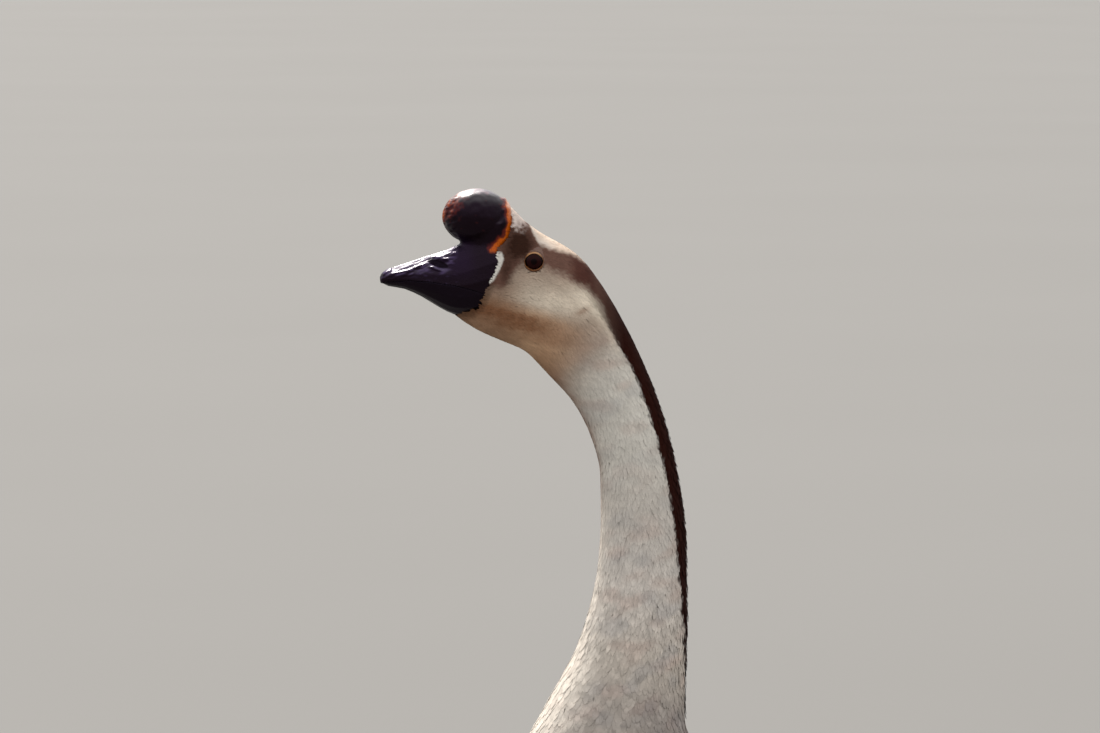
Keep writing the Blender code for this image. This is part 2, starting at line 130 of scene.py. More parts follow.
def ramp(values, low, high):
    """A smooth step from 0 at low to 1 at high. It falls where low is the greater."""
    share = np.clip((values - low) / (high - low), 0, 1)
    return share * share * (3 - 2 * share)


form = copied("form", FLESH_NODES + HORN_NODES, FORM_SWELL)
shaped(form, "REMESH", mode="VOXEL", voxel_size=FORM_VOXEL)
move_points(form, points_of(form) - normals_of(form) * FORM_SWELL)
shaped(form, "SMOOTH", factor=0.5, iterations=FORM_SMOOTHING)
shaped(form, "TRIANGULATE")
form_points = points_of(form)
form_normals = normals_of(form)
form_faces = np.array([face.vertices[:] for face in form.data.polygons])
form_tree = BVHTree.FromPolygons(form_points.tolist(), form_faces.tolist())

solid_points, solid_faces, solid_owner = [], [], []
for owner, node in enumerate(FLESH_NODES + HORN_NODES):
    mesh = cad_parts[node].data
    mesh.calc_loop_triangles()
    start = len(solid_points)
    solid_points += [tuple(vert.co) for vert in mesh.vertices]
    solid_faces += [[start + k for k in face.vertices] for face in mesh.loop_triangles]
    solid_owner += [owner] * len(mesh.loop_triangles)
solid_tree = BVHTree.FromPolygons(solid_points, solid_faces)
NODE_NUMBER = {node: number for number, node in enumerate(FLESH_NODES + HORN_NODES)}

# --- The body line ----------------------------------------------------------------------------------------
# Feathers grow in tracts along the bird from the bill to the tail. A line through the middle of the body
# gives each place its distance along the bird, its angle round from the back, and the way the feathers lie
# there.

LINE_STEP = 0.006
SEAM_REACH = 0.0016
LINE_ROUNDS = 4  # how often the line is drawn again through the middle of the body
FIRST_SOFTENING = 30
RING_RAYS = 24
RAY_LENGTH = 0.2


def seam(first, second):
    """The middle of the cut between two neighbouring nodes."""
    near = KDTree(len(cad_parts[second].data.vertices))
    for k, vert in enumerate(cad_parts[second].data.vertices):
        near.insert(vert.co, k)
    near.balance()
    shared = [vert.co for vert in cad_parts[first].data.vertices if near.find(vert.co)[2] < SEAM_REACH]
    return sum(shared, Vector()) / len(shared)


def middle(node):
    low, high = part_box(node)
    return (low + high) / 2


def evenly(points, step):
    """Points at equal steps along a line."""
    points = np.array(points)
    lengths = np.concatenate([[0], np.cumsum(np.linalg.norm(np.diff(points, axis=0), axis=1))])
    wanted = np.linspace(0, lengths[-1], int(lengths[-1] / step) + 1)
    return np.stack([np.interp(wanted, lengths, points[:, k]) for k in range(3)], axis=1)


def softened(points, rounds):
    for _ in range(rounds):
        points[1:-1] = (points[:-2] + 2 * points[1:-1] + points[2:]) / 4
    return points


eyes_middle = (middle("eye_left") + middle("eye_right")) / 2
EYES_MIDDLE = np.array(eyes_middle)
head_left = (middle("eye_left") - middle("eye_right")).normalized()
head_front = head_left.cross(Vector((0, 0, 1)))
HEAD_AXES = np.array((head_front, head_left, (0, 0, 1)))  # ahead, to the bird's left and up
BODY_LEFT = np.array((0, -1, 0))
TURN_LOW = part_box("neck_lower")[0].z
TURN_HIGH = middle("neck_middle").z


def left_of(height):
    """The bird's left at a height, which turns from the body's to the head's up the neck."""
    share = ramp(np.atleast_1d(height), TURN_LOW, TURN_HIGH)[:, None]
    return unit(BODY_LEFT * (1 - share) + HEAD_AXES[1] * share)


def axes_along(line):
    """The way on, the bird's left and the way out to its back at each point of a line."""
    tangents = unit(np.gradient(line, axis=0))
    left = left_of(line[:, 2])
    left = unit(left - tangents * (left * tangents).sum(1, keepdims=True))
    return tangents, left, np.cross(left, tangents)


tail_low, tail_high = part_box("tail")
line = [seam("head", "bill_upper")]
line += [seam(*pair) for pair in zip(LINE_NODES[:4], LINE_NODES[1:5])]
line += [middle("trunk"), seam("trunk", "tail"), Vector((tail_high.x, 0, (tail_low.z + tail_high.z) / 2))]
line = softened(evenly(line, LINE_STEP), FIRST_SOFTENING)
for _ in range(LINE_ROUNDS):
    tangents, left, back = axes_along(line)
    for k in range(1, len(line) - 1):
        hits = []
        for turn in np.linspace(0, 2 * math.pi, RING_RAYS, endpoint=False):
            ray = Vector(back[k] * math.cos(turn) + left[k] * math.sin(turn))
            hit = form_tree.ray_cast(Vector(line[k]), ray, RAY_LENGTH)[0]
            hits += [hit] if hit else []
        if hits:
            line[k] = sum(hits, Vector()) / len(hits)
    line = softened(evenly(softened(line, 6), LINE_STEP), 4)
tangents, left, back = axes_along(line)
line_tree = KDTree(len(line))
for k, point in enumerate(line):
    line_tree.insert(point, k)
line_tree.balance()
line_at = np.arange(len(line)) * LINE_STEP


def station_of(point):
    """Distance along the body line of the place nearest to a point."""
    _, k, _ = line_tree.find(point)
    return line_at[k] + float(np.dot(np.array(point) - line[k], tangents[k]))


NECK_TOP, NECK_HIGH, NECK_MID, NECK_BASE = (station_of(seam(*pair))
                                            for pair in zip(LINE_NODES[:4], LINE_NODES[1:5]))
TAIL_ROOT = station_of(seam("trunk", "tail"))
TAIL_END = line_at[-1]


def in_head(points):
    """Distances ahead of the eyes, out to the bird's left and above the eyes."""
    return HEAD_AXES @ (points - EYES_MIDDLE).T


class Places:
    """Where points lie: along the bird, round from its back, before and above its eyes, and on which node."""

    def __init__(self, points):
        self.points = points
        nearest = np.array([line_tree.find(point)[1] for point in points])
        off = points - line[nearest]
        self.station = line_at[nearest] + (off * tangents[nearest]).sum(1)
        self.turn = np.arctan2((off * left[nearest]).sum(1), (off * back[nearest]).sum(1))
        self.angle = np.degrees(np.abs(self.turn))
        self.flow = tangents[nearest]
        self.front, _, self.rise = in_head(points)
        self.owner = np.array([solid_owner[solid_tree.find_nearest(point)[2]] for point in points])

    def on(self, *nodes):
        return np.isin(self.owner, [NODE_NUMBER[node] for node in nodes])


def gap_to(points, nodes, reach=0.03):
    """Distance of each point from these CAD nodes, up to the reach."""
    whole = bmesh.new()
    for node in nodes:
        whole.from_mesh(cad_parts[node].data)
    tree = BVHTree.FromBMesh(whole)
    whole.free()
    return np.array([tree.find_nearest(point, reach)[3] or reach for point in points])


# --- Markings and painted light ---------------------------------------------------------------------------
# The brown Chinese goose: fawn and pale grey, a near-black stripe down the nape, a dark crown and brow, a
# white line beside the bill, tan throat, brown back and wings with pale feather edges, white belly and
# stern. Painted light is laid in with them: highlight along the top of the head and down the front of the
# neck, and shade low on the sides of the neck.


def linear(red, green, blue):
    """A paint tone given in the 0 to 255 of a paint card, as light amounts."""
    share = np.array([red, green, blue]) / 255
    return np.where(share <= 0.04045, share / 12.92, ((share + 0.055) / 1.055) ** 2.4)


FAWN = linear(190, 180, 168)
CREAM = linear(224, 210, 190)
CHEEK = linear(160, 137, 118)
TAN = linear(122, 77, 49)
MUZZLE = linear(200, 160, 124)
CROWN_TOP_HIGHLIGHT = linear(242, 220, 199)
ROSY = linear(190, 168, 156)
EDGE = linear(196, 180, 160)
CROWN = linear(103, 71, 61)
BROW = linear(46, 26, 18)
STRIPE = linear(40, 12, 6)
SLATE = linear(110, 96, 84)
WHITE = linear(222, 217, 208)
BELLY_WHITE = linear(184, 179, 170)
NECK_GREY = linear(214, 210, 204)
NECK_PALE = linear(232, 230, 221)
LOW_NECK_PALE = linear(238, 230, 222)
COOL_GREY = linear(150, 150, 152)
TAIL_BROWN = linear(92, 79, 68)
FRONT_HIGHLIGHT = linear(240, 230, 217)
BREAST_SHADE = linear(116, 110, 110)
LORE_TAN = linear(140, 108, 86)
CAP_DEEP = linear(79, 46, 39)
CROWN_RIM_HIGHLIGHT = linear(246, 236, 226)
FOREHEAD_WHITE_AND_HIGHLIGHT = linear(217, 202, 194)

# the stripe's half width in degrees round from the back, down the neck
STRIPE_STATIONS = (0.03, NECK_TOP, 0.10, NECK_HIGH, NECK_MID, NECK_MID + 0.06, NECK_BASE, NECK_BASE + 0.03)
STRIPE_HALF_WIDTHS = (32, 38, 41, 44, 36, 25, 20, 11)
# edges seen from the side: distances ahead of the eyes, and the heights of the edge there
CAP_EDGE = ((-0.075, -0.061, -0.053, -0.047, -0.037, -0.021, -0.010, 0.002, 0.012, 0.020),
            (-0.095, -0.063, -0.046, -0.031, -0.018, -0.0095, -0.0050, 0.0030, -0.0050, -0.018))
CROWN_EDGE = ((-0.0400, -0.0300, -0.0230, -0.0124, -0.0034, 0.0006, 0.0040),
              (-0.0060, 0.0014, 0.0044, 0.0082, 0.0116, 0.0190, 0.0270))


def wobble(points, size, seed):
    """Smooth unevenness, from -1 to 1, in patches of about this size."""
    angles = np.random.default_rng(seed).uniform(0, 2 * math.pi, (6, 3))
    total = np.zeros(len(points))
    for k, (tilt, swing, start) in enumerate(angles):
        way = np.array([math.sin(tilt) * math.cos(swing), math.sin(tilt) * math.sin(swing), math.cos(tilt)])
        total += np.sin(points @ way * (2 * math.pi / size) * (0.7 + 0.2 * k) + start)
    return np.clip(total / 3, -1, 1)


def blended(tones, mask, tone):
    return tones * (1 - mask[:, None]) + tone * mask[:, None]


def band(values, low, high, soft):
    """1 between low and high, falling to 0 over the soft width on either side."""
    return ramp(values, low - soft, low + soft) * ramp(values, high + soft, high - soft)


def above_edge(front, rise):
    """Height over the line that parts the dark cap and nape from the pale cheek."""
    return rise - np.interp(front, *CAP_EDGE)


def above_crown_line(front, rise):
    """Height over the line that parts the painted highlight along the top of the head from the brown beside
    it.
    """
    return rise - np.interp(front, *CROWN_EDGE)


def patches(along, across, *scales):
    """Smooth blotches stretched by their scales along and round the bird."""
    return np.array([noise.noise(Vector((u / scales[0], v / scales[1], 0)))
                     for u, v in zip(along.tolist(), across.tolist())])


def markings_and_painted_light(places):
    """The colour of the coat at each place, with painted highlight and shade laid in."""
    points, station, angle = places.points, places.station, places.angle
    front, rise = places.front, places.rise
    ragged = wobble(points, 0.011, 3) * 0.6 + wobble(points, 0.03, 4) * 0.4
    fine = wobble(points, 0.0045, 5)
    on_head = ramp(station, NECK_TOP + 0.03, NECK_TOP - 0.01)
    low_neck = ramp(station, NECK_MID - 0.05, NECK_MID + 0.03)
    streak = (1 - low_neck) * 0.8 * patches(station, places.turn, 0.0160, 0.0200)
    # painted light and shade: on the lower neck the streaks run across it in fine rows, as the shade under
    # each row of feather tips
    streak += low_neck * patches(station + 0.004 * wobble(points, 0.03, 8), places.turn, 0.0021, 0.16)
    mottle = ((1.3 + 3.0 * low_neck) * streak + wobble(points, 0.017, 6) * 0.6
              + wobble(points, 0.0065, 7) * 0.4)
    tones = np.tile(FAWN, (len(points), 1))
    tones = blended(tones, band(station, NECK_HIGH + 0.02, NECK_MID + 0.01, 0.05) * 0.45, NECK_GREY)
    tones = blended(tones, band(station, NECK_MID - 0.150, NECK_MID - 0.065, 0.035) * 0.55, NECK_PALE)
    tones = blended(tones, band(station, NECK_MID - 0.020, NECK_MID + 0.040, 0.030) * 0.30, LOW_NECK_PALE)
    even = 1 - 0.6 * band(station, NECK_HIGH - 0.03, NECK_MID - 0.04, 0.04)
    tones = blended(tones, ramp(wobble(points, 0.024, 18), 0.0, 0.9) * 0.45 * even, ROSY)
    tones = blended(tones, ramp(wobble(points, 0.031, 19), 0.1, 0.9) * 0.30 * even, COOL_GREY)
    # body
    on_body = ramp(station, NECK_BASE - 0.03, NECK_BASE + 0.05)
    brown = on_body * ramp(angle + 9 * ragged, 118, 92)
    tones = blended(tones, on_body * ramp(angle, 70, 110) * ramp(station, 0.40, 0.50) * 0.6, SLATE)
    tones = blended(tones, brown * (0.45 + 0.55 * ramp(station, NECK_BASE + 0.02, NECK_BASE + 0.12)), SLATE)
    tones = blended(tones, ramp(station, 0.52, 0.62) * ramp(angle + 6 * ragged, 108, 128), BELLY_WHITE)
    tones = blended(tones, ramp(station, TAIL_ROOT - 0.05, TAIL_ROOT - 0.02), BELLY_WHITE)
    tones = blended(tones, ramp(station, TAIL_ROOT + 0.034, TAIL_ROOT + 0.044), TAIL_BROWN)
    # painted highlight: the front of the neck and breast painted paler where the lamp rims it
    front_highlight = ramp(angle + 6 * ragged, 128, 165) * ramp(station, NECK_HIGH + 0.005, NECK_HIGH + 0.05)
    tones = blended(tones, front_highlight * ramp(station, NECK_BASE + 0.08, NECK_BASE) * 0.65, FRONT_HIGHLIGHT)
    low_shade = (ramp(station, NECK_BASE - 0.050, NECK_BASE - 0.010)
                 * (1 - 0.5 * ramp(station, NECK_BASE + 0.02, NECK_BASE + 0.08)))
    low_shade *= ramp(angle + 8 * ragged, 158, 135) * (0.36 + 0.18 * ramp(angle, 110, 70))
    tones = blended(tones, low_shade, BREAST_SHADE)
    # cheek, chin and throat
    tones = blended(tones, on_head * 0.8, CHEEK)
    over_cheek = rise + 0.0265 - 0.10 * front
    cheek_reach = np.where(over_cheek > 0, 0.0118, 0.0095)
    pale_cheek = np.exp(-((front + 0.016) / 0.036) ** 2 - (over_cheek / cheek_reach) ** 2)
    behind = np.exp(-((above_edge(front, rise) + 0.008) / 0.006) ** 2) * ramp(front, -0.020, -0.036)
    tones = blended(tones, on_head * np.clip(pale_cheek * 0.85 + behind * 0.6, 0, 1), CREAM)
    jaw = rise + 0.0440 - 0.34 * front + 0.003 * ragged
    tan = (np.exp(-(jaw / 0.0085) ** 2) * ramp(front, -0.058, -0.002)
           * ramp(station, NECK_TOP + 0.05, NECK_TOP))
    tan *= 0.60 + 0.40 * ramp(front, -0.016, 0.004)
    muzzle = ramp(rise + 0.0330 - 0.30 * front, 0.006, -0.006) * ramp(front, -0.046, -0.004)
    tones = blended(tones, on_head * muzzle * 0.75, MUZZLE)
    near_bill = ramp(front, 0.000, 0.024) * ramp(rise, -0.004, -0.020)
    tones = blended(tones, on_head * near_bill * 0.62, LORE_TAN)
    round_front = np.interp(station, (NECK_TOP - 0.02, NECK_TOP + 0.03, NECK_HIGH, NECK_HIGH + 0.05),
                            (44, 36, 22, 12))
    down_neck = (np.exp(-((180 - angle) / round_front) ** 2)
                 * ramp(station, NECK_HIGH + 0.075, NECK_HIGH - 0.02))
    down_neck *= ramp(station, NECK_TOP - 0.030, NECK_TOP + 0.005)
    tones = blended(tones, np.clip(tan + 0.12 * fine * tan, 0, 1) * 0.80, TAN)
    tones = blended(tones, np.clip(down_neck * 0.66 * (1 + 0.2 * ragged), 0, 1), TAN)
    ear = np.exp(-((front + 0.0330) / 0.0045) ** 2 - ((rise + 0.0335 + 0.4 * (front + 0.033)) / 0.0018) ** 2)
    tones = blended(tones, ear * 0.6, TAN)
    # lores, brow, crown and stripe
    above = above_edge(front, rise) + 0.0018 * ragged + 0.0010 * fine
    cap = on_head * ramp(above, -0.0040, 0.0045)
    tones = blended(tones, cap * 0.92, CROWN)
    tones = blended(tones, cap * band(front, -0.041, -0.026, 0.005) * 0.85, CAP_DEEP)
    # painted highlight: the top of the head is painted pale where the lamp falls on it, with a brighter
    # painted rim along the front of its lower edge
    crown_highlight = ramp(above_crown_line(front, rise) + 0.0010 * ragged + 0.0006 * fine, -0.0020, 0.0022)
    crown_highlight *= on_head * ramp(front, -0.050, -0.030) * ramp(angle, 95, 70) * 0.92
    tones = blended(tones, crown_highlight * (1 - 0.20 * ramp(front, -0.014, -0.024)), CROWN_TOP_HIGHLIGHT)
    low_edge = np.exp(-(above_crown_line(front, rise) / 0.0040) ** 2) * ramp(front, -0.018, -0.006)
    tones = blended(tones, crown_highlight * low_edge * 0.7, CROWN_RIM_HIGHLIGHT)
    lore = np.exp(-(np.maximum(np.abs(front - 0.0095), 0.003) / 0.0095) ** 2 - ((rise - 0.011) / 0.0105) ** 2)
    lore += 0.45 * np.exp(-((front - 0.0185) / 0.0045) ** 2 - ((rise + 0.006) / 0.010) ** 2)
    tones = blended(tones, np.clip(lore * 1.45 + 0.25 * fine * lore, 0, 1) * 0.94, BROW)
    half = np.interp(station, STRIPE_STATIONS, STRIPE_HALF_WIDTHS)
    torn = 3 + 4 * ramp(station, NECK_MID - 0.02, NECK_MID + 0.06)
    stripe = ramp(angle + torn * (0.6 * ragged + 0.5 * fine), half + 3, half - 3)
    stripe *= ramp(station + 0.012 * fine, NECK_BASE + 0.045, NECK_BASE + 0.005)
    tones = blended(tones * (1 + 0.085 * mottle)[:, None], stripe * ramp(front, -0.026, -0.062), STRIPE)
    # the pale forehead, white feathers behind the knob made paler on top as painted highlight, and the white
    # line beside the bill
    bill_gap = gap_to(points, HORN_NODES[:3], 0.014)
    flecks = 0.0050 * patches(station, places.turn, 0.0021, 0.05)
    high_up = rise + 0.002 * fine + flecks - 0.5 * np.maximum(front - 0.010, 0)
    forehead_white_and_highlight = ramp(bill_gap + 0.0018 * fine + flecks, 0.0118, 0.0045) * ramp(high_up, 0.0180, 0.0245)
    tones = blended(tones, np.clip(forehead_white_and_highlight * (0.85 + 0.4 * fine), 0, 1) * 0.88, FOREHEAD_WHITE_AND_HIGHLIGHT)
    jaw_edge = ramp(bill_gap + 0.0008 * fine, 0.0060, 0.0008) * ramp(rise, -0.0110, -0.0165)
    tones = blended(tones, jaw_edge * 0.55, BROW)
    wide = np.interp(rise, (-0.0165, -0.013, -0.005, 0.002, 0.0065), (0.0, 0.0014, 0.0026, 0.0038, 0.0034))
    beside = (ramp(bill_gap, wide + 0.0005, wide - 0.0004) * band(rise, -0.0150, 0.0062, 0.0012)
              * (front > 0.012))
    return blended(tones, beside, WHITE)


class Wire:
    """A value in a material's node tree that takes part in ordinary sums."""

    def __init__(self, socket):
        self.socket = socket

    def sum(self, operation, *values):
        tree = self.socket.id_data
        made = tree.nodes.new("ShaderNodeMath")
        made.operation = operation
        for place, value in zip(made.inputs, values):
            plug(tree, place, value)
        return Wire(made.outputs[0])

    def __add__(self, other):
        return self.sum("ADD", self, other)

    def __sub__(self, other):
        return self.sum("SUBTRACT", self, other)

    def __rsub__(self, other):
        return self.sum("SUBTRACT", other, self)

    def __mul__(self, other):
        return self.sum("MULTIPLY", self, other)

    def __abs__(self):
        return self.sum("ABSOLUTE", self)

    __radd__ = __add__
    __rmul__ = __mul__


def plug(tree, place, value):
    if isinstance(value, Wire):
        tree.links.new(value.socket, place)
    else:
        place.default_value = value


class Finish:
    """A material: its fixed numbers are set here, and what changes over the surface is drawn with nodes."""

    def __init__(self, name, **fixed):
        self.material = bpy.data.materials.new(name)
        self.material.use_nodes = True
        self.tree = self.material.node_tree
        self.shader = self.tree.nodes["Principled BSDF"]
        self.set(**fixed)

    def set(self, **values):
        """Sets or links sockets of the surface, such as base_color."""
        for name, value in values.items():
            plug(self.tree, self.shader.inputs[name.replace("_", " ").title().replace("Ior", "IOR")], value)

    def node(self, kind, settings=(), values=(), out=0):
        made = self.tree.nodes.new("ShaderNode" + kind)
        for name, value in dict(settings).items():
            if name == "stops":
                ramp_ends = made.color_ramp.elements
                while len(ramp_ends) < len(value):
                    ramp_ends.new(0.5)
                for end, (place, tone) in zip(ramp_ends, value):
                    end.position, end.color = place, (*tone, 1)
            else:
                setattr(made, name, value)
        for name, value in dict(values).items():
            plug(self.tree, made.inputs[name], value)
        return Wire(made.outputs[out])

    def noise(self, scale, detail, where=None):
        return self.node("TexNoise", {}, {"Vector": where or self.place(), "Scale": scale, "Detail": detail})

    def place(self):
        return self.node("TexCoord", out="Object")

    def stretched(self, *scale):
        return self.node("Mapping", {}, {"Vector": self.place(), "Scale": scale})

    def apart(self, vector):
        """The three parts of a vector."""
        first = self.node("SeparateXYZ", {}, {0: vector})
        return [Wire(socket) for socket in first.socket.node.outputs]

    def attribute(self, name, out="Vector"):
        return self.node("Attribute", {"attribute_name": name}, out=out)

    def between(self, value, low, high):
        """0 below low, 1 above high and smooth between."""
        return self.node("MapRange", {"interpolation_type": "SMOOTHSTEP"},
                         {"Value": value, "From Min": low, "From Max": high})

    def mixed(self, share, first, second):
        """Two colours mixed."""
        first, second = (tone if isinstance(tone, Wire) else (*tone, 1) for tone in (first, second))
        return self.node("Mix", {"data_type": "RGBA", "clamp_factor": True},
                         {0: share, 6: first, 7: second}, out=2)

    def sum_max(self, first, second):
        """The greater of two values."""
        return first.sum("MAXIMUM", first, second)

    def bump(self, height, distance, strength=1.0):
        self.set(normal=self.node("Bump", {}, {"Height": height, "Distance": distance, "Strength": strength}))


# --- Skin -------------------------------------------------------------------------------------------------
# One hide over the whole bird, from the bill's edge to the tail and down to the hocks. It lies under the
# feathers, which grow out of it, so it is inside the form by the depth of the coat and carries the same
# markings and painted light.

COAT_DEPTH = ((0.0, 0.0007), (NECK_TOP, 0.0008), (NECK_HIGH, 0.0010), (NECK_MID, 0.0012), (NECK_BASE, 0.0020),
              (NECK_BASE + 0.09, 0.0065), (TAIL_ROOT, 0.0050), (TAIL_END, 0.0020))
THIN_SHARE = 0.36  # the coat's depth is at most this share of a thin part
SKIN_SHARE = 0.5  # how many of the form's faces the hide keeps


def depth_at(places):
    """How deep the skin lies under the coat's surface."""
    depth = np.interp(places.station, *zip(*COAT_DEPTH))
    return np.where(places.on(*THIGH_NODES), np.minimum(depth, 0.004), depth)


form_places = Places(form_points)
form_depth = depth_at(form_places)
across_form = np.full(len(form_points), 0.1)
for k, (point, normal) in enumerate(zip(form_points.tolist(), form_normals.tolist())):
    inward = -Vector(normal)
    hit = form_tree.ray_cast(Vector(point) + inward * 1e-4, inward, 0.06)
    across_form[k] = hit[3] if hit[0] else 0.1
form_depth = np.minimum(form_depth, across_form * THIN_SHARE)
horn_gap = gap_to(form_points, HORN_NODES[:3])
eye_gap = gap_to(form_points, HORN_NODES[3:])
root_depth = form_depth.copy()
form_depth += 0.0036 * ramp(eye_gap, 0.0030, 0.0012)
under_horn = np.minimum(0.0045, across_form * THIN_SHARE)
form_depth = np.where(form_places.on(*HORN_NODES[:3]), under_horn, form_depth)

skin = placed("skin", form.data.copy())
move_points(skin, form_points - form_normals * form_depth[:, None])
shaped(skin, "DECIMATE", ratio=SKIN_SHARE)
shaped(skin, "SMOOTH", factor=0.5, iterations=2)


def tinted(obj, name, tones, more=None):
    """Keeps a colour at each point of a mesh, and one more share beside it."""
    made = obj.data.attributes.new(name, "FLOAT_COLOR", "POINT")
    more = np.ones(len(tones)) if more is None else more
    made.data.foreach_set("color", np.c_[tones, more].astype(np.float32).ravel())


def noted(obj, name, *values):
    """Keeps up to three values at each point of a mesh, for its finish to read."""
    made = obj.data.attributes.new(name, "FLOAT_VECTOR", "POINT")
    values = list(values) + [np.zeros(len(values[0]))] * (3 - len(values))
    made.data.foreach_set("vector", np.stack(values, axis=1).astype(np.float32).ravel())


def finished(obj, slot, finish, *nodes):
    """Gives a piece its material and the nodes that it stands for, whose solids it hides. The slot is not
    used. All of the bird is one body.
    """
    obj.data.materials.clear()
    obj.data.materials.append(finish.material)
    obj.data.polygons.foreach_set("use_smooth", np.ones(len(obj.data.polygons), bool))
    obj.data.update()
    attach(obj, "root")
    if nodes:
        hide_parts(*nodes)


tinted(skin, "tone", markings_and_painted_light(Places(points_of(skin))))
hide = Finish("hide", roughness=0.85, specular_ior_level=0.1)
hide_tone = hide.attribute("tone", "Color")
hide.set(base_color=hide.mixed(hide.between(hide.noise(900, 4), 0.3, 0.8) * 0.25, hide_tone,
                               (0.10, 0.075, 0.060)))
hide.bump(hide.noise(1200, 2), 0.0004, 0.6)
finished(skin, "plumage_pale", hide, *FLESH_NODES)

# --- Feathers of the head and neck ------------------------------------------------------------------------
# The face and crown carry the smallest feathers, short and close as fur. Down the neck they lengthen and
# lie in fine rows. Each is a thin cupped vane, rooted in the skin, whose tip lies over the roots of the
# next.


def on_form(points):
    """The nearest places on the form, and its rounded-off normals there."""
    found = [form_tree.find_nearest(point) for point in points.tolist()]
    spots = np.array([hit[0] for hit in found])
    corners = form_faces[[hit[2] for hit in found]]
    first, second, third = (form_points[corners[:, k]] for k in range(3))
    side_a, side_b, off = second - first, third - first, spots - first
    aa, ab, bb = (side_a * side_a).sum(1), (side_a * side_b).sum(1), (side_b * side_b).sum(1)
    oa, ob = (off * side_a).sum(1), (off * side_b).sum(1)
    under = np.maximum(aa * bb - ab * ab, 1e-20)
    share_b, share_c = (bb * oa - ab * ob) / under, (aa * ob - ab * oa) / under
    shares = np.stack([1 - share_b - share_c, share_b, share_c], axis=1)
    return spots, unit((form_normals[corners] * shares[:, :, None]).sum(1)), corners, shares


def scattered(chosen, spacing, luck):
    """Root places spread over the chosen part of the form, about this far apart."""
    first, second, third = (form_points[form_faces[:, k]] for k in range(3))
    area = np.linalg.norm(np.cross(second - first, third - first), axis=1) / 2
    apart = spacing[form_faces].mean(1)
    hopes = 5.0 * area / apart**2 * chosen[form_faces].mean(1)
    tries = np.repeat(np.arange(len(area)), np.floor(hopes + luck.random(len(area))).astype(int))
    tries = luck.permutation(tries)
    u, v = luck.random((2, len(tries)))
    over = u + v > 1
    u, v = np.where(over, 1 - u, u), np.where(over, 1 - v, v)
    spots = first[tries] + (second - first)[tries] * u[:, None] + (third - first)[tries] * v[:, None]
    apart = apart[tries]
    near = KDTree(len(spots))
    for k, spot in enumerate(spots.tolist()):
        near.insert(spot, k)
    near.balance()
    free, kept = np.ones(len(spots), bool), []
    for k, spot in enumerate(spots.tolist()):
        if free[k]:
            kept.append(k)
            for _, other, _ in near.find_range(spot, apart[k]):
                free[other] = False
    return spots[kept]


# the darker roots and edges are painted shade, where feathers lie under and beside their neighbours
PLAIN_SHADE = (0.62, 0.90, 1.04, 0.10, 0.06)  # light of root, middle and tip, darker edges, feathers' spread


class Lie:
    """Centre lines of feathers laid on the form: where each runs, which way is up, and which way is on."""

    def __init__(self, centres, ups):
        self.roots = centres[:, 0]
        self.lengths = np.linalg.norm(np.diff(centres, axis=1), axis=2).sum(1)
        ways = np.gradient(centres, axis=1)
        self.centres, self.ups = centres, ups
        self.ways = unit(ways - ups * (ways * ups).sum(2, keepdims=True))


def laid(roots, ways, lengths, steps):
    """Feathers that follow the form from their roots, starting off in these ways."""
    spots, ups, _, _ = on_form(roots)
    centres, all_ups = [spots], [ups]
    for _ in range(steps):
        ways = unit(ways - ups * (ways * ups).sum(1, keepdims=True))
        spots, ups, _, _ = on_form(spots + ways * (lengths / steps)[:, None])
        centres.append(spots)
        all_ups.append(ups)
    return Lie(np.stack(centres, 1), np.stack(all_ups, 1))


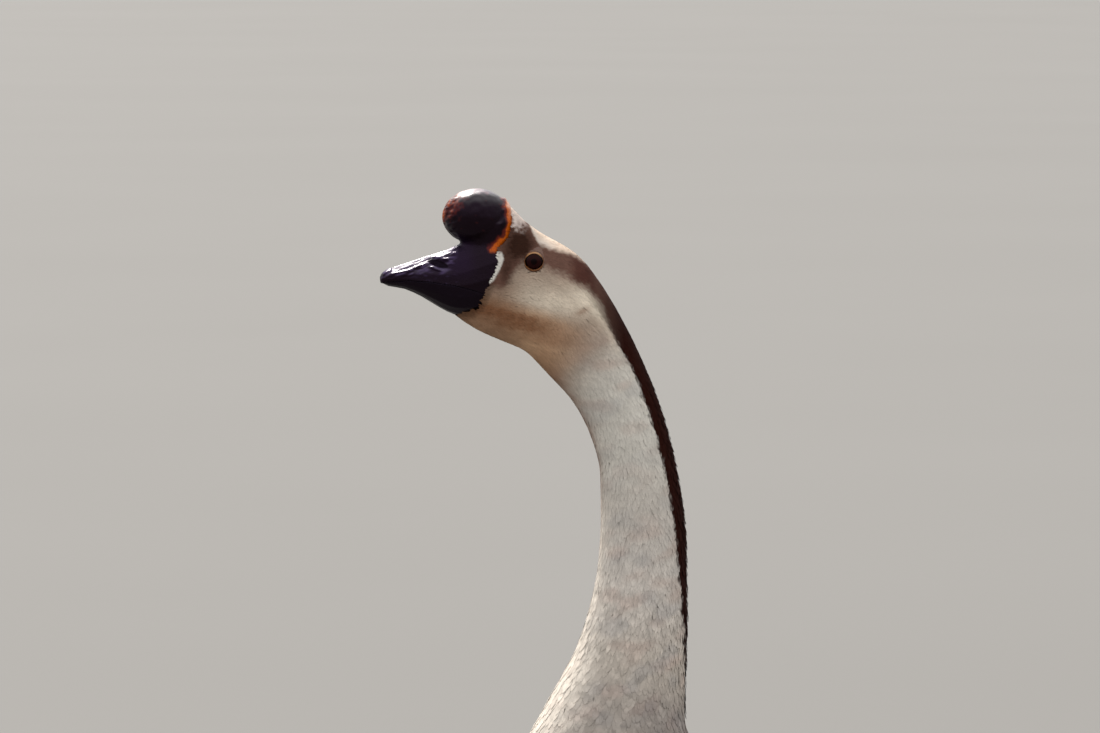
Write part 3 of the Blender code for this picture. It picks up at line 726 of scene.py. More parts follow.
def vanes(name, lie, widths, sunk, tip_sunk, tones, fringe, outline, across, cup, point, luck, hug=False,
          shade=PLAIN_SHADE, roll=0.0):
    """Joined feathers: a strip of vane along each centre line, deep at its root, out to the form at its tip.
    The shade says how light root, middle and tip are painted, how dark the edges, and how uneven the
    feathers; the darker roots and edges are painted shade where feathers lie under and beside their
    neighbours.
    The roll sinks one edge, on the side of its sign, so that neighbours in a row overlap like tiles."""
    count, rows = lie.centres.shape[:2]
    along = np.linspace(0, 1, rows)
    wide = np.interp(along, *zip(*outline))
    over = np.linspace(-1, 1, across + 1)
    side = np.cross(lie.ups, lie.ways)
    half = widths[:, None] / 2 * wide[None, :]
    pull = point * np.abs(over)[None, :] ** 2 * along[:, None] ** 2
    grid = (lie.centres[:, :, None, :]
            + side[:, :, None, :] * (half[:, :, None] * over[None, None, :])[..., None]
            - lie.ways[:, :, None, :] * (pull[None] * lie.lengths[:, None, None])[..., None])
    up = np.repeat(lie.ups[:, :, None, :], across + 1, 2)
    if hug:
        spots, ups, _, _ = on_form(grid.reshape(-1, 3))
        grid, up = spots.reshape(grid.shape), ups.reshape(grid.shape)
    rising = sunk[:, None] * (1 - along[None, :]) ** 1.1 + tip_sunk[:, None] * along[None, :]
    lower = (cup * half[:, :, None] * np.abs(over)[None, None, :] ** 1.5
             + abs(roll) * (1 + np.sign(roll) * over) / 2)
    grid = grid - up * (rising[:, :, None] + lower)[..., None]
    points = grid.reshape(-1, 3)
    block = rows * (across + 1)
    low = (np.arange(rows - 1)[:, None] * (across + 1) + np.arange(across)[None, :]).ravel()
    quad = np.stack([low, low + across + 1, low + across + 2, low + 1], axis=1)
    faces = (np.arange(count)[:, None, None] * block + quad[None]).reshape(-1, 4)
    mesh = bpy.data.meshes.new(name)
    mesh.vertices.add(len(points))
    mesh.vertices.foreach_set("co", points.astype(np.float32).ravel())
    mesh.loops.add(faces.size)
    mesh.loops.foreach_set("vertex_index", faces.astype(np.int32).ravel())
    mesh.polygons.add(len(faces))
    mesh.polygons.foreach_set("loop_start", np.arange(0, faces.size, 4, dtype=np.int32))
    mesh.update(calc_edges=True)
    obj = placed(name, mesh)
    chance = luck.random(count)
    over_all = np.broadcast_to(over[None, None, :], grid.shape[:3])
    along_all = np.broadcast_to(along[None, :, None], grid.shape[:3])
    chance_all = np.broadcast_to(chance[:, None, None], grid.shape[:3])
    noted(obj, "vane", over_all.ravel(), along_all.ravel(), chance_all.ravel())
    root_light, middle_light, tip_light, edge_dark, uneven = shade
    # painted light and shade along each feather: darker at the root and edges, where it lies under its
    # neighbours
    light = np.interp(along_all, (0, 0.45, 0.85, 1), (root_light, middle_light, 1, tip_light))
    light = light * (1 - edge_dark * np.abs(over_all) ** 1.5) * (1 + uneven * (2 * chance_all - 1))
    tones = np.repeat(tones[:, None], rows, 1) if tones.ndim == 2 else tones
    colours = np.concatenate([tones, np.repeat(fringe[:, None, None], rows, 1)], axis=2)
    colours = np.repeat(colours.reshape(-1, 4), across + 1, axis=0)
    tinted(obj, "tone", colours[:, :3] * light.reshape(-1, 1), colours[:, 3])
    patched(mesh, lie.roots, np.stack([over_all, along_all], axis=-1).reshape(-1, 2), faces, block)
    return obj


PATCH = 0.003


def patched(mesh, roots, on_vane, faces, block):
    """Lays each feather as a small patch at its root's place on the bird's own unwrapped hide."""
    places = Places(roots)
    flat = np.stack([places.turn / (2 * math.pi), places.station], axis=1)
    low, high = flat.min(0), flat.max(0)
    flat = 2 * PATCH + (flat - low) / np.maximum(high - low, 1e-6) * (1 - 4 * PATCH)
    flat = np.repeat(flat, block, axis=0) + (on_vane - (0, 0.5)) * (PATCH / 2, PATCH)
    layer = mesh.uv_layers.new(name="OFBake")
    layer.data.foreach_set("uv", flat[faces.ravel()].astype(np.float32).ravel())


# outlines: how wide a feather is, as a share of its width, at each share of its length
SMALL_VANE = ((0, 0.45), (0.35, 0.9), (0.7, 1.0), (1, 0.45))
BLUNT_VANE = ((0, 0.40), (0.35, 0.85), (0.75, 1.0), (1, 0.80))


def plumage(name, barbs=0.0, shaft=0.0, rim=(0.88, 0.98)):
    """Feather finish: soft, pale-edged where each feather's fringe share asks for it, with shafts and barbs
    if asked.
    """
    finish = Finish(name, roughness=0.8, specular_ior_level=0.03, sheen_weight=0.015, sheen_roughness=0.5)
    over, along, chance = finish.apart(finish.attribute("vane"))
    toned = finish.attribute("tone", "Color")
    if shaft:
        toned = finish.mixed(finish.between(abs(over), 0.075, 0.02) * shaft, toned, (0.035, 0.025, 0.020))
    reach = finish.sum_max(abs(over), along * 1.06 - 0.06) + chance * 0.03
    toned = finish.mixed(finish.between(reach, *rim) * finish.attribute("tone", "Alpha"), toned, tuple(EDGE))
    stray = finish.noise(1500, 3)
    toned = finish.mixed(finish.between(stray, 0.45, 0.8) * 0.18, toned, (0.05, 0.036, 0.028))
    finish.set(base_color=toned)
    if barbs:
        rows = (along * barbs - abs(over) * barbs * 0.22) * (2 * math.pi)
        finish.bump(rows.sum("SINE", rows) * 0.4 + stray * 0.8, 0.00022, 0.40)
    return finish


FACE_REACH = 0.030
face_share = ramp(np.minimum(horn_gap, eye_gap + 0.004), 0.001, FACE_REACH)
neck_stations = (0.030, NECK_TOP, NECK_HIGH, NECK_MID, NECK_MID + 0.06, NECK_BASE, NECK_BASE + 0.05)
NECK_SPACING = (0.00115, 0.0012, 0.00145, 0.0016, 0.0019, 0.0024, 0.0042)
NECK_LENGTH = (0.0050, 0.0064, 0.0080, 0.0090, 0.0100, 0.0120, 0.0190)
NECK_WIDTH = (0.0018, 0.0020, 0.0026, 0.0028, 0.0034, 0.0047, 0.0092)
coat_spacing, coat_length, coat_width = (np.interp(form_places.station, neck_stations, sizes)
                                         for sizes in (NECK_SPACING, NECK_LENGTH, NECK_WIDTH))
coat_spacing *= 0.66 + 0.34 * face_share
coat_length *= 0.54 + 0.46 * face_share
coat_width *= 0.66 + 0.34 * face_share
LID_CLEAR = 0.0068
flesh_here = ~form_places.on(*HORN_NODES) & (form_depth > 0.0003)
flesh_here &= np.hypot(form_places.front, form_places.rise) > LID_CLEAR


def ways_at(roots, luck, spread):
    """Which way feathers point at these roots: along the bird, a few degrees off at random."""
    places = Places(roots)
    _, ups, _, _ = on_form(roots)
    ways = unit(places.flow - ups * (places.flow * ups).sum(1, keepdims=True))
    turn = luck.normal(0, math.radians(spread), len(roots))[:, None]
    return ways * np.cos(turn) + np.cross(ups, ways) * np.sin(turn)


def furrows(places):
    """How much lower feather tips lie in the furrows between tufts, deepest down the front of the neck."""
    here = (ramp(places.station, NECK_MID - 0.04, NECK_MID + 0.05)
            * ramp(places.station, NECK_BASE + 0.10, NECK_BASE))
    ripple = np.sin(np.abs(places.turn) * 19 + 1.4 * wobble(places.points, 0.035, 30)) * 0.5 + 0.5
    clump = wobble(places.points, 0.013, 31) * 0.5 + 0.5
    across = (np.sin((places.station + 0.003 * wobble(places.points, 0.02, 32)) * 2 * math.pi / 0.0042)
              * 0.5 + 0.5)
    uneven = 0.6 * ripple + 0.4 * clump
    return 0.0006 * here * uneven * ramp(places.angle, 60, 130) + 0.0003 * here * across


def short_of_lids(roots, ways, lengths):
    """Feather lengths that stop where the feather would run onto the lids."""
    front, _, rise = in_head(roots)
    room = np.hypot(front, rise) - LID_CLEAR
    to_eye = front * (ways @ HEAD_AXES[0]) + rise * ways[:, 2] < 0
    return np.where(to_eye, np.minimum(lengths, np.maximum(room * 1.15, 0.0007)), lengths)


def grown(name, chosen, steps, across, spread, luck_number, fringe=None, cup=0.12, hug=False,
          outline=SMALL_VANE, tip=0.0002, tip_spread=0.00025, deep=0.9, shade=PLAIN_SHADE, graded=False,
          tone=None, tucked=False, point=0.16):
    """Scatters feathers over part of the form, sized by their place, and joins them. Graded ones change
    colour along their length with the markings and painted light. Tucked ones go under the edges of the
    wings."""
    luck = np.random.default_rng(luck_number)
    roots = scattered(chosen.astype(float), coat_spacing, luck)
    front, _, rise = in_head(roots)
    roots = roots[np.hypot(front, rise) > LID_CLEAR]
    ways = ways_at(roots, luck, spread)
    _, _, corners, shares = on_form(roots)

    def here(held):
        return (held[corners] * shares).sum(1)

    lengths = short_of_lids(roots, ways, here(coat_length) * luck.uniform(0.85, 1.15, len(roots)))
    lie = laid(roots, ways, lengths, steps)
    widths = here(coat_width) * luck.uniform(0.88, 1.12, len(roots))
    sunk = here(root_depth) * deep
    middles = Places(lie.centres[:, max(1, steps * 2 // 3)])
    at = Places(roots)
    tips = tip + np.abs(luck.normal(0, tip_spread, len(roots))) + furrows(at)
    nape = (ramp(at.angle, 40, 15) * ramp(at.station, NECK_TOP, NECK_HIGH)
            * ramp(at.station, NECK_BASE + 0.10, NECK_BASE))
    tips += nape * luck.uniform(-0.0012, 0.0006, len(roots))
    tips += (0.0024 * tucked * ramp(gap_to(middles.points, WING_NODES, 0.02), 0.014, 0.003)
             * ramp(middles.angle, 60, 90))
    tones = markings_and_painted_light(middles) if tone is None else np.tile(tone, (len(roots), 1))
    if graded:
        tones = markings_and_painted_light(Places(lie.centres.reshape(-1, 3))).reshape(lie.centres.shape)
    edges = np.zeros(len(roots)) if fringe is None else fringe(middles)
    return vanes(name, lie, widths, sunk, tips, tones, edges, outline, across, cup, point, luck, hug, shade)


close_coat = plumage("close_coat")
on_head = form_places.station < NECK_TOP
head_coat = grown("feathers_head", flesh_here & on_head, 3, 2, 7, 11, tip=0.0001, tip_spread=0.00004,
                  deep=0.5, shade=(0.90, 0.98, 1.02, 0.08, 0.05), graded=True)
finished(head_coat, "plumage_pale", close_coat)
NECK_END = NECK_BASE + 0.04
SOFT_VANE = ((0, 0.42), (0.35, 0.88), (0.72, 1.0), (1, 0.50))
UPPER_NECK = {"tip_spread": 0.00010, "deep": 0.55, "outline": SMALL_VANE, "point": 0.12,
              "shade": (0.88, 0.97, 1.03, 0.07, 0.05)}
LOWER_NECK = {"tip_spread": 0.00006, "deep": 0.48, "outline": SOFT_VANE, "point": 0.08,
              "shade": (1.0, 1.0, 0.97, 0.02, 0.05)}
neck_shares = (NECK_TOP, NECK_MID, NECK_MID + 0.065, NECK_BASE, NECK_END)
for number, (low, high) in enumerate(zip(neck_shares, neck_shares[1:])):
    chosen = (flesh_here & (form_places.station >= low) & (form_places.station < high)
              & ~form_places.on(*WING_NODES))
    coat = grown(f"feathers_neck_{number + 1}", chosen, 3, 2, 10, 12 + number, tip=0.0001, cup=0.01,
                 graded=True, **(LOWER_NECK if number > 1 else UPPER_NECK))
    finished(coat, "plumage_pale", close_coat)

# --- Feathers of the body ---------------------------------------------------------------------------------
# Contour feathers as broad as a thumb cover breast, back, flanks and belly, brown with pale edges above and
# on the flanks, white behind the legs. They overlap like tiles from front to back, and small ones run down
# the thighs.

BROAD_VANE = ((0, 0.30), (0.18, 0.62), (0.45, 0.94), (0.72, 1.0), (0.9, 0.80), (1, 0.52))
body_stations = (NECK_END, NECK_END + 0.03, 0.46, 0.54, TAIL_ROOT, TAIL_END)
on_body = (form_places.station > NECK_END) | form_places.on(*WING_NODES)


def coat_sized(here, spacing, length, width):
    """Sets how far apart the feathers of one part of the bird stand, and how long and wide they are."""
    for held, size in ((coat_spacing, spacing), (coat_length, length), (coat_width, width)):
        held[here] = np.broadcast_to(size, len(held))[here]


BODY_SPACING = (0.0042, 0.0058, 0.0072, 0.0082, 0.0082, 0.0080)
BODY_LENGTH = (0.0200, 0.0270, 0.0360, 0.0440, 0.0460, 0.0400)
BODY_WIDTH = (0.0090, 0.0135, 0.0190, 0.0230, 0.0230, 0.0190)
coat_sized(on_body, *(np.interp(form_places.station, body_stations, sizes)
                      for sizes in (BODY_SPACING, BODY_LENGTH, BODY_WIDTH)))
on_thigh = form_places.on(*THIGH_NODES)
down_thigh = ramp(form_points[:, 2], 0.215, 0.120)
coat_sized(on_thigh, 0.0062 - 0.0026 * down_thigh, 0.0240 - 0.0110 * down_thigh, 0.0130 - 0.0060 * down_thigh)
on_wing = form_places.on(*WING_NODES)


def body_fringe(places):
    """How pale the feather edges are: plainest on back and flanks, none on breast and belly."""
    share = ramp(places.station, NECK_END - 0.02, NECK_END + 0.07) * ramp(places.angle, 135, 115)
    return share * ramp(places.station, TAIL_ROOT - 0.02, TAIL_ROOT - 0.06) * 0.75


broad_coat = plumage("broad_coat", barbs=38, shaft=0.22, rim=(0.90, 0.99))
parts = {
    "feathers_breast": on_body & ~on_wing & ~on_thigh & (form_places.station < 0.50),
    "feathers_trunk": on_body & ~on_wing & ~on_thigh & (form_places.station >= 0.50)
    & (form_places.station < TAIL_ROOT + 0.030),
    "feathers_thighs": on_thigh,
}
for number, (name, chosen) in enumerate(parts.items()):
    coat = grown(name, chosen, 5, 4, 7, 21 + number, body_fringe, cup=0.06, hug=True, outline=BROAD_VANE,
                 tip=0.0003, tip_spread=0.0004, shade=(0.80, 0.95, 1.02, 0.05, 0.05),
                 tucked=name == "feathers_trunk")
    finished(coat, "plumage_white" if name == "feathers_thighs" else "plumage_brown", broad_coat)

# --- Wings ------------------------------------------------------------------------------------------------
# The folded wing: small coverts on the leading part, rows of larger ones behind, then the long secondaries
# and tertials, and the narrow primaries that cross over the tail. Scapulars from the shoulder lie over its
# upper edge.


def place_at(station, turn):
    """The outermost places of the form at these distances along the bird and angles round from its back."""
    start = np.stack([np.interp(station, line_at, line[:, k]) for k in range(3)], axis=1)
    up = np.stack([np.interp(station, line_at, back[:, k]) for k in range(3)], axis=1)
    aside = np.stack([np.interp(station, line_at, left[:, k]) for k in range(3)], axis=1)
    ray = up * np.cos(turn)[:, None] + aside * np.sin(turn)[:, None]
    hits = [form_tree.ray_cast(Vector(spot + way * 0.3), Vector(-way), 0.3)[0]
            for spot, way in zip(start, ray)]
    return np.array([hit if hit else spot for hit, spot in zip(hits, start)])


on_left_wing = form_places.on("wing_left")
wing_bins = np.arange(form_places.station[on_left_wing].min() + 0.012, TAIL_ROOT, 0.012)
wing_edges = []
for at in wing_bins:
    in_bin = on_left_wing & (np.abs(form_places.station - at) < 0.008)
    wing_edges.append(np.percentile(form_places.angle[in_bin], (3, 97)))
wing_edges = np.array(wing_edges)


def wing_turn(station, share):
    """The angle at a share of the way from the wing's upper edge to its lower edge."""
    upper, lower = (np.interp(station, wing_bins, wing_edges[:, k]) for k in (0, 1))
    return np.radians(upper + (lower - upper) * share)


ROW_SPREAD = 2.5  # degrees by which the feathers of a row turn from their neighbours
WING_SHADE = (0.75, 0.93, 1.03, 0.06, 0.05)


def rows_of(name, side, rows, slant, luck_number, finish, length_steps, across, fringe, tone=None):
    """Neat rows of feathers on one wing, each row as the tables of rows say."""
    luck = np.random.default_rng(luck_number)
    hand = 1 if side == "left" else -1
    stations, turns, lengths, widths, sunk = [], [], [], [], []
    for k, (station, low, high, count, length, width, deep) in enumerate(rows):
        share = np.linspace(low, high, count) + (k % 2) * (high - low) / count / 2
        share = np.clip(share + luck.normal(0, 0.06 / count, count), 0, 1.02)
        at = station + slant * (1 - share) + luck.normal(0, 0.0012, count)
        stations.append(at)
        turns.append(wing_turn(at, share) * hand)
        lengths.append(length * luck.uniform(0.93, 1.07, count))
        widths.append(width * luck.uniform(0.94, 1.06, count))
        sunk.append(np.full(count, deep))
    stations, turns, lengths, widths, sunk = map(np.concatenate, (stations, turns, lengths, widths, sunk))
    roots = place_at(stations, turns)
    lie = laid(roots, ways_at(roots, luck, ROW_SPREAD), lengths, length_steps)
    tips = 0.0003 + np.abs(luck.normal(0, 0.0003, len(roots)))
    tones = (markings_and_painted_light(Places(lie.centres[:, length_steps // 2])) if tone is None
             else np.tile(tone, (len(roots), 1)))
    coat = vanes(name, lie, widths, sunk, tips, tones, np.full(len(roots), fringe), BROAD_VANE, across, 0.04,
                 point=0.12, hug=True, luck=luck, roll=0.0014 * hand, shade=WING_SHADE)
    finished(coat, "plumage_brown", finish)


def drawn(roots, ends, steps, lift):
    """Feathers that run straight over the form from their roots to their ends, and how long each is."""
    shares = np.linspace(0, 1, steps + 1)[None, :, None]
    straight = roots[:, None] * (1 - shares) + ends[:, None] * shares
    spots, ups, _, _ = on_form(straight.reshape(-1, 3))
    spots += ups * lift
    return Lie(spots.reshape(straight.shape), ups.reshape(straight.shape))


def fan(name, side, table, finish, tone, fringe, steps, across, luck_number, lift=0.0):
    """Long feathers of one wing, each from its root to its tip, as the table of them says."""
    hand = 1 if side == "left" else -1
    table = np.array(table)
    luck = np.random.default_rng(luck_number)
    table[:, (1, 3)] += luck.normal(0, 0.5, (len(table), 2))
    roots = place_at(table[:, 0], np.radians(table[:, 1]) * hand)
    ends = place_at(table[:, 2], np.radians(table[:, 3]) * hand)
    lie = drawn(roots, ends, steps, lift)
    sunk, tips = np.full(len(table), 0.0035), np.linspace(0.0001, 0.0008, len(table))
    coat = vanes(name, lie, table[:, 4], sunk, tips, np.tile(tone, (len(table), 1)),
                 np.full(len(table), fringe), FLIGHT_VANE, across, 0.02, point=0.05, hug=True, luck=luck,
                 roll=0.0010 * hand, shade=WING_SHADE)
    finished(coat, "plumage_brown", finish)


FLIGHT_VANE = ((0, 0.35), (0.25, 0.75), (0.5, 0.97), (0.8, 1.0), (0.93, 0.84), (1, 0.45))
FLIGHT_BROWN = linear(72, 60, 52)
PRIMARY_BROWN = linear(56, 47, 42)
flight_coat = plumage("flight_coat", barbs=60, shaft=0.50, rim=(0.93, 0.99))
on_coverts = on_wing & (form_places.station < 0.52)
behind = np.clip(form_places.station - 0.39, 0, 0.13)
coat_sized(on_coverts, 0.0062 + 0.02 * behind, 0.0230 + 0.10 * behind, 0.0145 + 0.05 * behind)
lesser = grown("wing_lesser_coverts", on_coverts, 5, 4, 4, 40, body_fringe, cup=0.10, hug=True,
               outline=BROAD_VANE, tip=0.0002, tip_spread=0.0004)
finished(lesser, "plumage_brown", broad_coat)
on_flights = on_wing & (form_places.station >= 0.50)
coat_sized(on_flights, 0.0085, 0.0300, coat_width.copy())
under = grown("wing_under_feathers", on_flights & (form_depth > 0.0005), 4, 2, 4, 39, hug=True,
              outline=BLUNT_VANE, tip=0.0048, tip_spread=0.0002, tone=FLIGHT_BROWN)
finished(under, "plumage_brown", broad_coat)
# rows: station, from and to share of the wing's height, how many, length, width and depth of the roots
MEDIAN = [(0.489 + 0.0130 * k, 0.02, 1.0, 13, 0.042 + 0.003 * k, 0.0215 + 0.001 * k, 0.0045)
          for k in range(4)]
GREATER = [(0.540, 0.02, 1.0, 12, 0.066, 0.026, 0.0050), (0.560, 0.02, 1.0, 12, 0.080, 0.028, 0.0055)]
SECONDARY = [(0.592, 0.02, 0.98, 12, 0.105, 0.030, 0.0060), (0.630, 0.02, 0.95, 11, 0.105, 0.030, 0.0060)]
TERTIAL = [(0.655, 0.00, 0.55, 6, 0.110, 0.036, 0.0050), (0.680, 0.02, 0.80, 7, 0.085, 0.030, 0.0055)]
# single long feathers: station and angle of the root, station and angle of the tip, and width
PRIMARY = [(0.742, 84, 0.818, 84, 0.020), (0.738, 72, 0.836, 82, 0.021), (0.733, 60, 0.850, 79, 0.021),
           (0.728, 46, 0.858, 77, 0.022), (0.722, 30, 0.862, 75, 0.022)]
for number, side in enumerate(SIDES):
    rows_of(f"wing_coverts_{side}", side, MEDIAN + GREATER, 0.055, 41 + number, broad_coat, 5, 4, 0.85)
    fan(f"wing_primaries_{side}", side, PRIMARY, flight_coat, PRIMARY_BROWN, 0.60, 12, 4, 51 + number,
        lift=0.0007)
    rows_of(f"wing_flights_{side}", side, SECONDARY + TERTIAL, 0.030, 43 + number, flight_coat, 8, 4, 0.55,
            tone=FLIGHT_BROWN)
    # scapulars
    upper = np.degrees(wing_turn(np.linspace(0.41, 0.61, 6), 0.0))
    rows = []
    for k in range(6):
        for off in (20, 11, 2, -7):
            root, turn = 0.418 + 0.036 * k, upper[k] + off
            rows.append((root, turn, root + 0.050 + 0.006 * k, turn * 0.96, 0.0235 + 0.0018 * k))
    fan(f"scapulars_{side}", side, rows, broad_coat, SLATE * 0.86, 0.85, 6, 4, 61 + number, lift=0.0006)

# --- Tail -------------------------------------------------------------------------------------------------
# Sixteen stiff tail feathers, brown with white edges, spread in a shallow fan from under the white coverts.
# They overlap like a roof from the middle outwards, and the same feathers show from below.

TAIL_PAIRS = 8
TAIL_FEATHER = 0.0225
tail_points = form_points[form_places.on("tail")]
tail_low, tail_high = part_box("tail")


def tail_place(x, y, above):
    """The tail's upper or lower surface over a place on the floor."""
    way = Vector((0, 0, -1 if above else 1))
    found = []
    for at_x, at_y in zip(x, y):
        hit = form_tree.ray_cast(Vector((at_x, at_y, 0.30 if above else 0.10)), way)[0]
        found.append(hit or Vector((at_x, at_y, (tail_low.z + tail_high.z) / 2)))
    return np.array(found)


tail_coat = plumage("tail_coat", barbs=44, shaft=0.40, rim=(0.88, 0.97))
for above, name in ((True, "tail_feathers_upper"), (False, "tail_feathers_lower")):
    share = np.array([s * (k + 0.5) / TAIL_PAIRS for k in range(TAIL_PAIRS)[::-1] for s in (-1, 1)])
    wide = min(tail_high.y, -tail_low.y)
    tip_y = share * (wide - 0.004)
    tip_x = np.array([tail_points[np.abs(tail_points[:, 1] - y) < 0.0025, 0].max() for y in tip_y]) - 0.0012
    tip_x -= 0.0040 * np.abs(share) ** 5
    root_x = tail_high.x - 0.100 - 0.008 * np.abs(share)
    root_y = share * 0.030
    shares = np.linspace(0, 1, 11)
    centres = np.stack([tail_place(root_x + (tip_x - root_x) * s, root_y + (tip_y - root_y) * s, above)
                        for s in shares], axis=1)
    _, ups, _, _ = on_form(centres.reshape(-1, 3))
    ups = unit(ups * (0.15, 0.15, 1))
    lie = Lie(centres, ups.reshape(centres.shape))
    order = (np.arange(len(share)) if above else np.arange(len(share))[::-1]) / len(share)
    widths = np.full(len(share), TAIL_FEATHER)
    coat = vanes(name, lie, widths, 0.0048 - 0.0010 * order, 0.0015 - 0.0011 * order,
                 np.tile(TAIL_BROWN, (len(share), 1)), np.full(len(share), 0.9), FLIGHT_VANE, 4, 0.04,
                 point=0.06, luck=np.random.default_rng(71 if above else 72))
    finished(coat, "plumage_brown", tail_coat)

# --- Legs, feet and claws ---------------------------------------------------------------------------------
# Bare orange shanks and webbed feet: overlapping scutes down the front and along each toe, small round
# scales elsewhere, a creased web between the toes, and short dark claws.

LEG_VOXEL = 0.00080
LEG_IRONING = 10
MELT_SWELL = 0.0003  # closes the hairline gaps between the nodes while they are melted
SCUTE = 0.0034  # the height of one scute on the shank
TOE_SCUTE = 0.0023
WEB_LEVEL = 0.0038
LEG_ORANGE = linear(214, 122, 48)
LEG_CREASE = linear(150, 72, 26)
LEG_PALE = linear(226, 160, 92)

leg_skin = Finish("leg_skin", roughness=0.46, specular_ior_level=0.42, subsurface_weight=0.08,
                  subsurface_scale=0.002)
leg_tone = leg_skin.attribute("tone", "Color")
scales = leg_skin.node("TexVoronoi", {"feature": "DISTANCE_TO_EDGE"},
                       {"Vector": leg_skin.place(), "Scale": 560})
scute_share, _, _ = leg_skin.apart(leg_skin.attribute("scuted"))
cells = leg_skin.between(scales, 0.0, 0.16) * (1 - scute_share) + scute_share
dusty = leg_skin.noise(180, 4)
leg_skin.set(base_color=leg_skin.mixed((1 - cells) * 0.55 + leg_skin.between(dusty, 0.5, 0.8) * 0.25,
                                       leg_tone, tuple(LEG_CREASE)),
             roughness=dusty * 0.25 + 0.34)
leg_skin.bump(cells * 0.8 + leg_skin.noise(1800, 2) * 0.3, 0.0004, 0.8)

claw_horn = Finish("claw_horn", roughness=0.38, specular_ior_level=0.4)
grown_lines = claw_horn.noise(300, 3, claw_horn.stretched(1.0, 1.0, 6.0))
claw_horn.set(base_color=claw_horn.mixed(grown_lines, (0.030, 0.020, 0.014), (0.120, 0.085, 0.055)),
              roughness=grown_lines * 0.3 + 0.25)
claw_horn.bump(claw_horn.noise(900, 3, claw_horn.stretched(1.0, 1.0, 5.0)), 0.0003, 0.6)


def ironed(obj, rounds, chosen=None, shrinking=False):
    """Evens a surface out without wearing it down, or rounds off its hollows where shrinking is asked."""
    points = points_of(obj)
    ends = np.empty(len(obj.data.edges) * 2, np.int32)
    obj.data.edges.foreach_get("vertices", ends)
    first, second = ends.reshape(-1, 2).T
    count = np.bincount(ends, minlength=len(points))[:, None]
    share = np.ones((len(points), 1)) if chosen is None else chosen[:, None]
    for k in range(rounds * 2):
        total = np.stack([np.bincount(first, points[second, a], len(points))
                          + np.bincount(second, points[first, a], len(points)) for a in range(3)], axis=1)
        pull = 0.5 if k % 2 == 0 or shrinking else -0.52
        points += (total / count - points) * pull * share
    move_points(obj, points)


def melted(name, nodes, voxel, rounds):
    """These nodes run together as one fine mesh, with their facets ironed out."""
    made = copied(name, nodes, MELT_SWELL)
    shaped(made, "REMESH", mode="VOXEL", voxel_size=voxel)
    move_points(made, points_of(made) - normals_of(made) * MELT_SWELL)
    ironed(made, rounds)
    return made


for side in SIDES:
    leg = melted(f"leg_{side}", (f"shank_{side}", f"foot_{side}"), LEG_VOXEL, LEG_IRONING)
    points, normals = points_of(leg), normals_of(leg)
    low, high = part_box(f"foot_{side}")
    shank_low, shank_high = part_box(f"shank_{side}")
    heel = np.array([shank_low.x + 0.004, (shank_low.y + shank_high.y) / 2])
    from_heel = np.linalg.norm(points[:, :2] - heel, axis=1)
    up_shank = ramp(points[:, 2], 0.010, 0.018)
    facing = ramp(-normals[:, 0], 0.15, 0.55) * up_shank
    on_toe = (ramp(points[:, 2], WEB_LEVEL + 0.0004, WEB_LEVEL + 0.0018) * ramp(normals[:, 2], 0.1, 0.5)
              * (1 - up_shank))
    shank_wave = np.mod(points[:, 2] / SCUTE + 0.25 * np.abs(normals[:, 1]), 1)
    toe_wave = np.mod(from_heel / TOE_SCUTE, 1)
    scute = facing * (1 - shank_wave) ** 0.6 * 0.00042 + on_toe * toe_wave**0.6 * 0.00030
    groove = facing * band(shank_wave, -0.1, 0.10, 0.06) + on_toe * band(toe_wave, 0.92, 1.1, 0.06)
    on_web = (ramp(points[:, 2], WEB_LEVEL + 0.0012, WEB_LEVEL) * ramp(from_heel, 0.012, 0.024)
              * ramp(normals[:, 2], 0.2, 0.7))
    spread_angle = np.arctan2(points[:, 1] - heel[1], heel[0] - points[:, 0])
    pleat = np.sin(spread_angle * 62 + 1.5 * wobble(points, 0.02, 33)) * on_web
    points = points + normals * (scute + 0.00022 * pleat)[:, None]
    points[:, 2] = np.maximum(points[:, 2], low.z + 0.0001)
    points[:, 2] += 0.0022 * ramp(points[:, 2], shank_high.z - 0.0030, shank_high.z - 0.0005)
    move_points(leg, points)
    tones = np.tile(LEG_ORANGE, (len(points), 1))
    tones = blended(tones, ramp(wobble(points, 0.021, 34), 0.1, 1.0) * 0.35, LEG_PALE)
    tones = blended(tones, np.clip(groove, 0, 1) * 0.75, LEG_CREASE)
    tones = blended(tones, on_web * (0.25 + 0.2 * pleat), LEG_CREASE)
    tones = blended(tones, ramp(points[:, 2], 0.100, 0.116) * 0.3, LEG_CREASE)
    tinted(leg, "tone", tones)
    noted(leg, "scuted", np.clip(facing + on_toe, 0, 1))
    finished(leg, "leg_orange", leg_skin, f"shank_{side}", f"foot_{side}")

    claw_nodes = [f"claw_{side}_{number}" for number in (1, 2, 3, 4)]
    claws = copied(f"claws_{side}", claw_nodes)
    shaped(claws, "SUBSURF", levels=2, render_levels=2)
    finished(claws, "claw_dark", claw_horn, *claw_nodes)

# --- Bill and knob ----------------------------------------------------------------------------------------
# One horny sheath covers the upper bill and runs up over the knob, glossy black with a violet sheen, with
# an orange rim where it meets the forehead. Part of the sheen is painted into the colour: violet along the
# upper side, paler on faces that look up, and a pale highlight on the knob's top; nostril and gape are
# painted dark as shade. Slit nostrils lie in a shallow hollow, a nail hooks over the tip, and the lower
# bill closes behind fine comb-like edges.

BAND_WIDTH = 0.0049  # the orange band at the knob's foot
NOSTRIL_FRONT, NOSTRIL_RISE = 0.0650, -0.0020  # from the eyes
NOSTRIL_SLIT = (0.0078, 0.0026, -18)  # half its length, half its height and its tilt
COMB_PITCH = 0.0019  # of the fine teeth along the bill's edges
HORN_VOXEL = 0.00052
HORN_IRONING = 26


